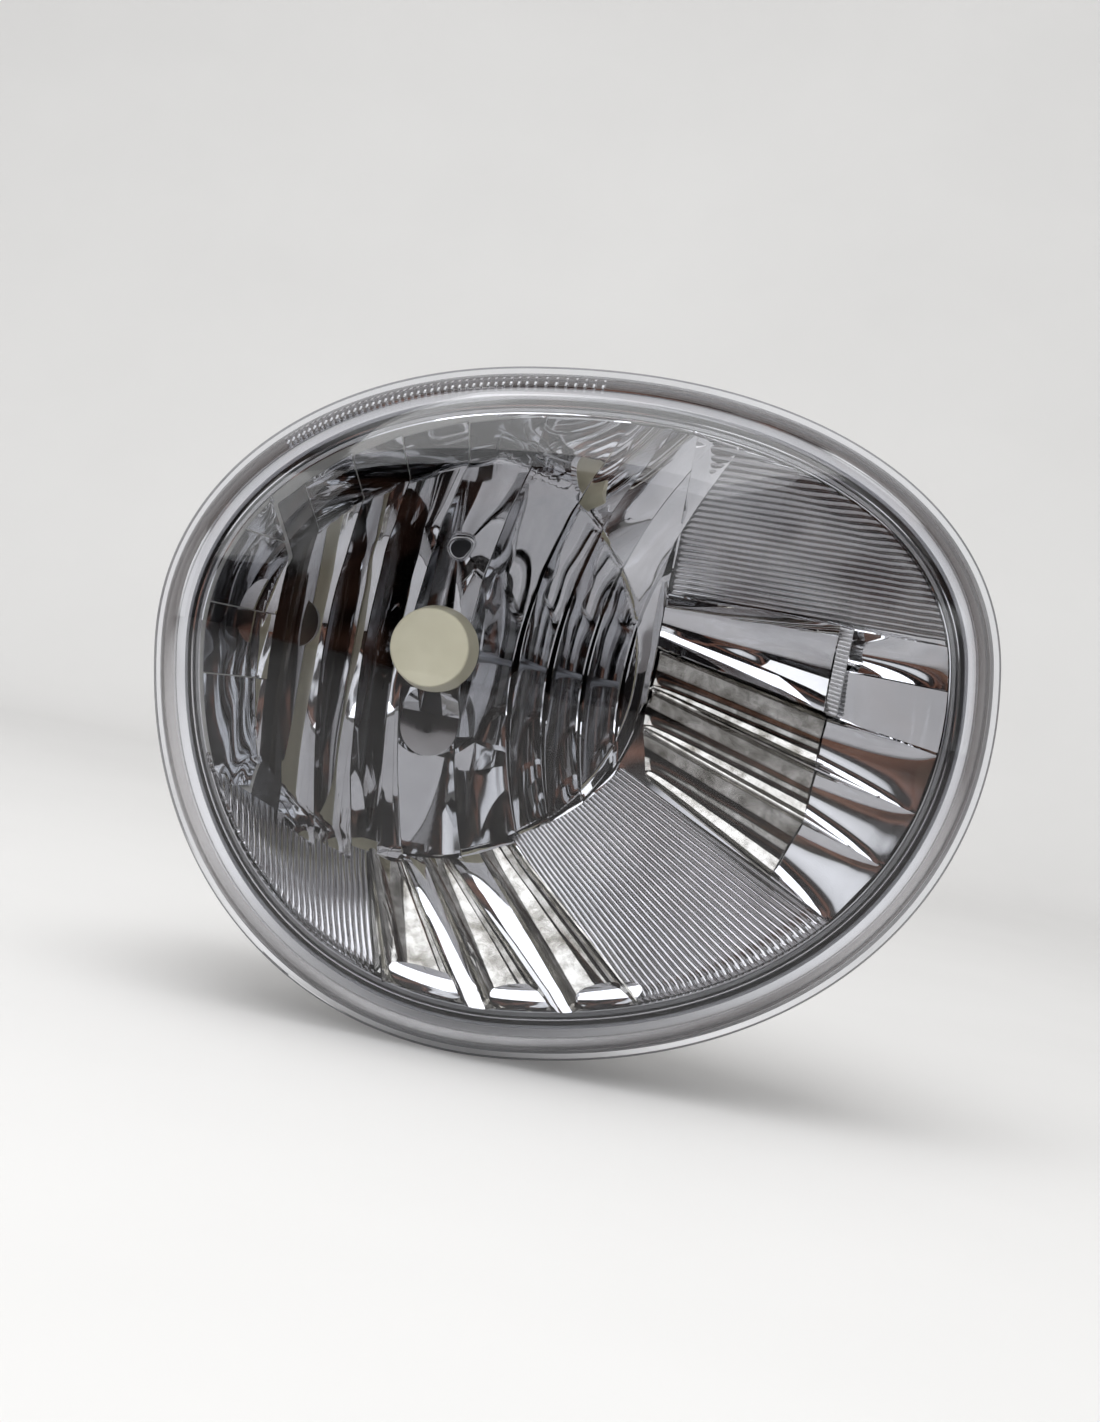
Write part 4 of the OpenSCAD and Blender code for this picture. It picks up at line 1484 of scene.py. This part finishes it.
@dataclass
class RearHousing:
    """The housing behind the reflector, from its grooved rim to the round neck at its back."""

    grow: float = -5.5
    wall: float = 2.4
    back_radius: float = 44.0
    back_plate: float = 12.0
    rim_back: float = 66.0
    rim_front: float = 73.5
    steps: int = 300
    rounding: tuple[tuple[float, float], ...] = (
        (0, 0),
        (0.18, 0.02),
        (0.37, 0.12),
        (0.55, 0.34),
        (0.74, 0.66),
        (0.88, 0.9),
        (1, 1),
    )
    bosses: tuple[float, ...] = (90.0, 210.0, 330.0)
    boss_circle: float = 52.0
    pivots: tuple[float, ...] = (-35.0, 50.0)
    aim: tuple[float, float] = (30.0, -52.0)
    vent: tuple[float, float] = (62.0, 14.0)
    fin_angles: tuple[float, ...] = (8, 36, 62, 118, 146, 172, 190, 232, 254, 278, 312, 352)

    def path(self, inset: float) -> Array:
        """Rows of grow, roundness, radius and depth from rim to back, at a depth in the wall."""
        drop = self.rim_back - self.back_plate
        rows = np.array(
            [
                (
                    self.grow - inset,
                    turn,
                    self.back_radius - inset,
                    self.rim_back - drop * share + inset * turn,
                )
                for share, turn in self.rounding
            ]
        )
        at = np.linspace(0, len(rows) - 1, 61)
        fine = np.column_stack([np.interp(at, np.arange(len(rows)), rows[:, k]) for k in range(4)])
        soft = fine.copy()
        for _ in range(6):
            soft[1:-1] = (soft[:-2] + 2 * soft[1:-1] + soft[2:]) / 4
        return soft[::2]

    @staticmethod
    def ring(angle: Array, row: Array) -> tuple[Array, Array]:
        """Points of a ring between the lamp's outline and a circle.

        Args:
            angle: Angles round the outline.
            row: Rows of grow, roundness and radius, one per angle.

        Returns:
            The across and up coordinates.
        """
        x, z = OUTLINE.points(angle, row[:, 0])
        cx, cz = row[:, 2] * np.cos(angle + OUTLINE.turn), row[:, 2] * np.sin(angle + OUTLINE.turn)
        return x + (cx - x) * row[:, 1], z + (cz - z) * row[:, 1]

    def build(self) -> None:
        """Builds the housing in one piece, its sealant and its stiffening fins."""
        parts = [self.build_shell()]
        for direction in self.bosses:
            angle = math.radians(direction)
            x, z = self.boss_circle * math.cos(angle), self.boss_circle * math.sin(angle)
            boss = ((7, 33), (7, 0.6), (6.4, 0), (4.9, 0), (4.52, 0.4), (4.52, 14), (0.05, 14), (0.05, 33))
            parts.append(tube_at("boss", x, z, boss))
        tube = ((7.55, 36), (7.55, 16.5), (7.05, 16), (5.6, 16), (5.6, 36))
        parts.append(tube_at("adjuster_tube", *self.aim, tube))
        for across in self.pivots:
            post = ((4.5, 21.5), (4.5, 12.8), (2.03, 13.4), (2.03, 21.5))
            parts.append(tube_at("pivot_post", across, 0.0, post))
        parts.append(tube_at("vent", *self.vent, ((4, 26), (4, 12), (2.2, 12), (2.2, 26))))
        parts += [self.build_fin(direction) for direction in self.fin_angles]
        housing = join("housing_moulding", parts)
        smooth(housing, 35)
        place(housing, ROOT, "housing_plastic", HOUSING)
        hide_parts("housing")
        self.build_sealant()

    def build_shell(self) -> bpy.types.Object:
        """Builds the shell, its rim with the glue groove, its back plate and its neck."""
        outer, inner = self.path(0.0)[::-1], self.path(self.wall)
        back = [(28.4, 3.4), (28.8, 3), (30.6, 3), (31, 3.4), (31, 11.4), (31.6, 12), (43, 12)]
        neck = np.array([(self.grow, 1.0, radius, depth) for radius, depth in back])
        front = self.rim_front
        groove = [(-6.5, front), (-6.5, 68), (-8.9, 68), (-8.9, front)]
        rim = [(-5.5, front - 0.4), (-5.9, front), *groove, (-9.9, front), (-9.9, 67)]
        band = np.array([(grow, 0.0, 0.0, depth) for grow, depth in rim])
        start = np.array([(self.grow, 1.0, 28.4, self.back_plate + self.wall)])
        rows = np.vstack([start, neck, outer, band, inner, start])
        steps = len(rows) - 1

        def shape(u: Array, v: Array) -> tuple[Array, Array, Array]:
            row = rows[np.rint(v * steps).astype(int)]
            x, z = self.ring(2 * math.pi * u, row)
            return x, z, row[:, 3]

        shell = sheet("housing_shell", self.steps, steps, shape)
        face_outwards(shell)
        return shell

    def build_fin(self, direction: float) -> bpy.types.Object:
        """Builds one stiffening fin that runs over the shell from the back plate towards the rim."""
        rows = self.path(0.3)[3:]
        steps = len(rows) - 1
        angle = math.radians(direction)

        def shape(u: Array, v: Array) -> tuple[Array, Array, Array]:
            row = rows[np.rint(u * steps).astype(int)]
            x, z = self.ring(np.full_like(u, angle), row)
            out = np.arctan2(z, x)
            height = 2.4 * v * np.clip(u * 5, 0.12, 1) * np.clip((1 - u) * 8, 0.2, 1)
            return (
                x + height * np.cos(out) * (1 - 0.5 * row[:, 1]),
                z + height * np.sin(out) * (1 - 0.5 * row[:, 1]),
                row[:, 3] - height * row[:, 1] * 0.8,
            )

        fin = sheet("fin", steps, 3, shape)
        add_modifier(fin, "SOLIDIFY", thickness=1.6 * MM, offset=0.0)
        face_outwards(fin)
        return fin

    def build_sealant(self) -> None:
        """Builds the bead of sealant in the rim's groove."""
        bead = [(-6.5, 68.0), (-6.5, 69.2), (-8.9, 69.2), (-8.9, 68.0), (-6.5, 68.0)]
        piece = sheet("sealant_bead", self.steps, 4, ring_shape(bead, around_outline))
        face_outwards(piece)
        place(piece, ROOT, "sealant", SEALANT)
        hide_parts("lens_seal")


@dataclass
class RubberBoot:
    """The rolling rubber boot between the housing's neck and the bulb holder."""

    profile: tuple[tuple[float, float], ...] = (
        (31.0, 10.5),
        (31.0, 3.0),
        (27.4, 3.0),
        (25.4, 5.4),
        (23.6, 7.6),
        (21.4, 6.6),
        (18.4, 2.2),
        (15.2, -1.6),
        (12.0, -2.8),
        (12.0, -6.2),
        (14.1, -6.2),
        (14.1, -4.4),
        (16.8, -3.6),
        (20.4, 0.8),
        (22.8, 4.6),
        (24.4, 3.2),
        (26.4, 0.9),
        (33.0, 0.9),
        (33.0, 10.5),
    )

    def build(self) -> None:
        """Builds the boot."""
        piece = turned("rolling_boot", softened(self.profile), 144)
        rings = []
        for depth in (3.4, 8.4):
            back, front = depth - 0.9, depth + 0.9
            bead = [(33.5, front), (33.5, back), (32.7, back), (32.7, front)]
            rings.append(turned("bead", softened(bead), 144))
        boot = join("rolling_boot", [piece, *rings])
        smooth(boot, 50)
        dress(boot, RUBBER)
        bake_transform(boot)
        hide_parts("bulb_boot")
        log.info("%s: %d faces from %s to %s", boot.name, len(boot.data.polygons), ROOT, REFLECTOR_BODY)


@dataclass
class Filament:
    """The bulb's coiled tungsten wire."""

    depth: float = 36.0
    half: float = 2.5
    radius: float = 0.72
    wire: float = 0.17
    turns: int = 11

    def build(self) -> None:
        """Builds the coil."""

        def shape(u: Array, v: Array) -> tuple[Array, Array, Array]:
            angle, around = 2 * math.pi * self.turns * u, 2 * math.pi * v
            radius = self.radius + self.wire * np.cos(around)
            along = self.depth + self.half * 0.93 * (2 * u - 1) + self.wire * np.sin(around)
            return radius * np.cos(angle), radius * np.sin(angle), along

        piece = sheet("filament_coil", self.turns * 22, 8, shape)
        make_active(piece)
        bpy.ops.object.mode_set(mode="EDIT")
        bpy.ops.mesh.select_all(action="SELECT")
        bpy.ops.mesh.region_to_loop()
        bpy.ops.mesh.edge_face_add()
        bpy.ops.object.mode_set(mode="OBJECT")
        face_outwards(piece)
        smooth(piece, 60)
        place(piece, "bulb_body", "tungsten", TUNGSTEN)
        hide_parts("bulb_filament")


# ---------- stage, light and camera ----------


@dataclass
class Studio:
    """The pale floor and sweep, the soft lamps and the camera."""

    distance: float = 0.45
    azimuth: float = 4.0
    elevation: float = 1.0
    roll: float = 11.0
    lens: float = 54.3
    aim: tuple[float, float, float] = (0.0305, -0.079, -0.0083)
    lit: tuple[float, float, float] = (0.02, -0.06, 0.0)
    room: tuple[tuple[float, tuple[float, float, float]], ...] = (
        (0.0, (0.004, 0.004, 0.004)),
        (0.44, (0.008, 0.007, 0.007)),
        (0.475, (0.2, 0.1, 0.07)),
        (0.505, (0.03, 0.022, 0.02)),
        (0.55, (0.05, 0.048, 0.046)),
        (0.575, (0.75, 0.75, 0.75)),
        (0.64, (1.0, 1.0, 1.0)),
        (0.68, (0.2, 0.2, 0.205)),
    )

    def build(self) -> None:
        """Builds the stage, the world, the lamps and the camera."""
        bpy.context.scene.view_settings.view_transform = "Standard"
        self.build_floor()
        self.build_world()
        self.build_lamps()
        self.build_camera()

    def build_floor(self) -> None:
        """Builds a floor that sweeps up behind the lamp."""
        base = float(CAD_BOX[0][2]) - 0.0005
        deselect_all()
        bpy.ops.mesh.primitive_grid_add(x_subdivisions=8, y_subdivisions=60, size=1)
        floor = bpy.context.object
        floor.name = floor.data.name = "floor_sweep"
        for vertex in floor.data.vertices:
            u, v = vertex.co.x, vertex.co.y + 0.5
            y = -1.6 + 3.4 * v
            rise = max(0.0, y - 0.75)
            vertex.co = (u * 6.0, min(y, 1.15 + 0.25 * rise), base + 1.9 * rise**2)
        smooth(floor, 60)
        material = bpy.data.materials.new("floor_paper")
        material.use_nodes = True
        nodes, links = material.node_tree.nodes, material.node_tree.links
        shader = nodes["Principled BSDF"]
        haze = Finish.place(nodes, haze_group(), Scale=3.0, Specks=0.0)
        colour = nodes.new("ShaderNodeMix")
        colour.data_type = "RGBA"
        colour.inputs["A"].default_value = (0.76, 0.755, 0.75, 1)
        colour.inputs["B"].default_value = (0.8, 0.795, 0.79, 1)
        links.new(haze.outputs["Cloud"], colour.inputs["Factor"])
        links.new(colour.outputs["Result"], shader.inputs["Base Color"])
        shader.inputs["Roughness"].default_value = 0.7
        floor.data.materials.append(material)

    def build_world(self) -> None:
        """Builds a pale world whose reflections are those of a room with dark and warm patches."""
        world = bpy.data.worlds.new("soft_room")
        bpy.context.scene.world = world
        world.use_nodes = True
        nodes, links = world.node_tree.nodes, world.node_tree.links
        nodes.clear()
        out = nodes.new("ShaderNodeOutputWorld")
        pale = nodes.new("ShaderNodeBackground")
        pale.inputs["Color"].default_value = (0.86, 0.86, 0.855, 1)
        pale.inputs["Strength"].default_value = 0.95
        room = nodes.new("ShaderNodeBackground")
        coordinates = nodes.new("ShaderNodeTexCoord")
        noise = nodes.new("ShaderNodeTexNoise")
        noise.inputs["Scale"].default_value = 1.5
        noise.inputs["Detail"].default_value = 2.0
        noise.inputs["Distortion"].default_value = 0.6
        ramp = nodes.new("ShaderNodeValToRGB")
        for end in (0, -1):
            ramp.color_ramp.elements[end].position = self.room[end][0]
            ramp.color_ramp.elements[end].color = (*self.room[end][1], 1)
        for position, colour in self.room[1:-1]:
            ramp.color_ramp.elements.new(position).color = (*colour, 1)
        path = nodes.new("ShaderNodeLightPath")
        switch = nodes.new("ShaderNodeMath")
        switch.operation = "GREATER_THAN"
        switch.inputs[1].default_value = 0.5
        mix = nodes.new("ShaderNodeMixShader")
        links.new(coordinates.outputs["Generated"], noise.inputs["Vector"])
        links.new(noise.outputs["Fac"], ramp.inputs["Fac"])
        links.new(ramp.outputs["Color"], room.inputs["Color"])
        links.new(path.outputs["Glossy Depth"], switch.inputs[0])
        links.new(switch.outputs[0], mix.inputs["Fac"])
        links.new(pale.outputs[0], mix.inputs[1])
        links.new(room.outputs[0], mix.inputs[2])
        links.new(mix.outputs[0], out.inputs["Surface"])

    def build_lamps(self) -> None:
        """Builds a large soft lamp overhead and a smaller one from the left."""
        for name, place_at, size, power in (
            ("overhead_softbox", (-0.1, -0.35, 0.9), 0.9, 6.0),
            ("left_softbox", (-0.9, -0.6, 0.5), 0.5, 1.2),
        ):
            deselect_all()
            bpy.ops.object.light_add(type="AREA", location=place_at)
            lamp = bpy.context.object
            lamp.name = lamp.data.name = name
            lamp.data.size = size
            lamp.data.energy = power
            towards = Vector(self.lit) - Vector(place_at)
            lamp.rotation_euler = towards.to_track_quat("-Z", "Y").to_euler()

    def build_camera(self) -> None:
        """Builds the camera, turned so that the lamp leans clockwise in its view."""
        azimuth, elevation = math.radians(self.azimuth), math.radians(self.elevation)
        flat = math.cos(elevation)
        away = Vector((math.sin(azimuth) * flat, -math.cos(azimuth) * flat, math.sin(elevation)))
        place_at = Vector(self.aim) + away * self.distance
        rolled = Matrix.Rotation(math.radians(self.roll), 4, "Z")
        turn = away.to_track_quat("Z", "Y").to_matrix().to_4x4() @ rolled
        deselect_all()
        bpy.ops.object.camera_add(location=place_at)
        camera = bpy.context.object
        camera.name = camera.data.name = "front_camera"
        camera.matrix_world = Matrix.Translation(place_at) @ turn
        camera.data.sensor_fit = "VERTICAL"
        camera.data.sensor_height = 36.0
        camera.data.lens = self.lens
        camera.data.clip_start = 0.01
        bpy.context.scene.camera = camera


def dress_frame() -> None:
    """Gives every node of the frame its finish."""
    for name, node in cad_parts.items():
        if name in NODE_FINISHES:
            dress(node, NODE_FINISHES[name])


def main() -> None:
    """Builds the headlight's visible pieces round the frame, then the studio."""
    dress_frame()
    ReflectorBody().build()
    BowlSteps().build()
    RibbedFields().build()
    Flutes().build()
    SidePanels().build()
    ReflectorTrim().build()
    DomedLens().build()
    RearHousing().build()
    RubberBoot().build()
    Filament().build()
    Studio().build()


if __name__ == "__main__":
    logging.basicConfig(level=logging.INFO, format="%(message)s")
    main()
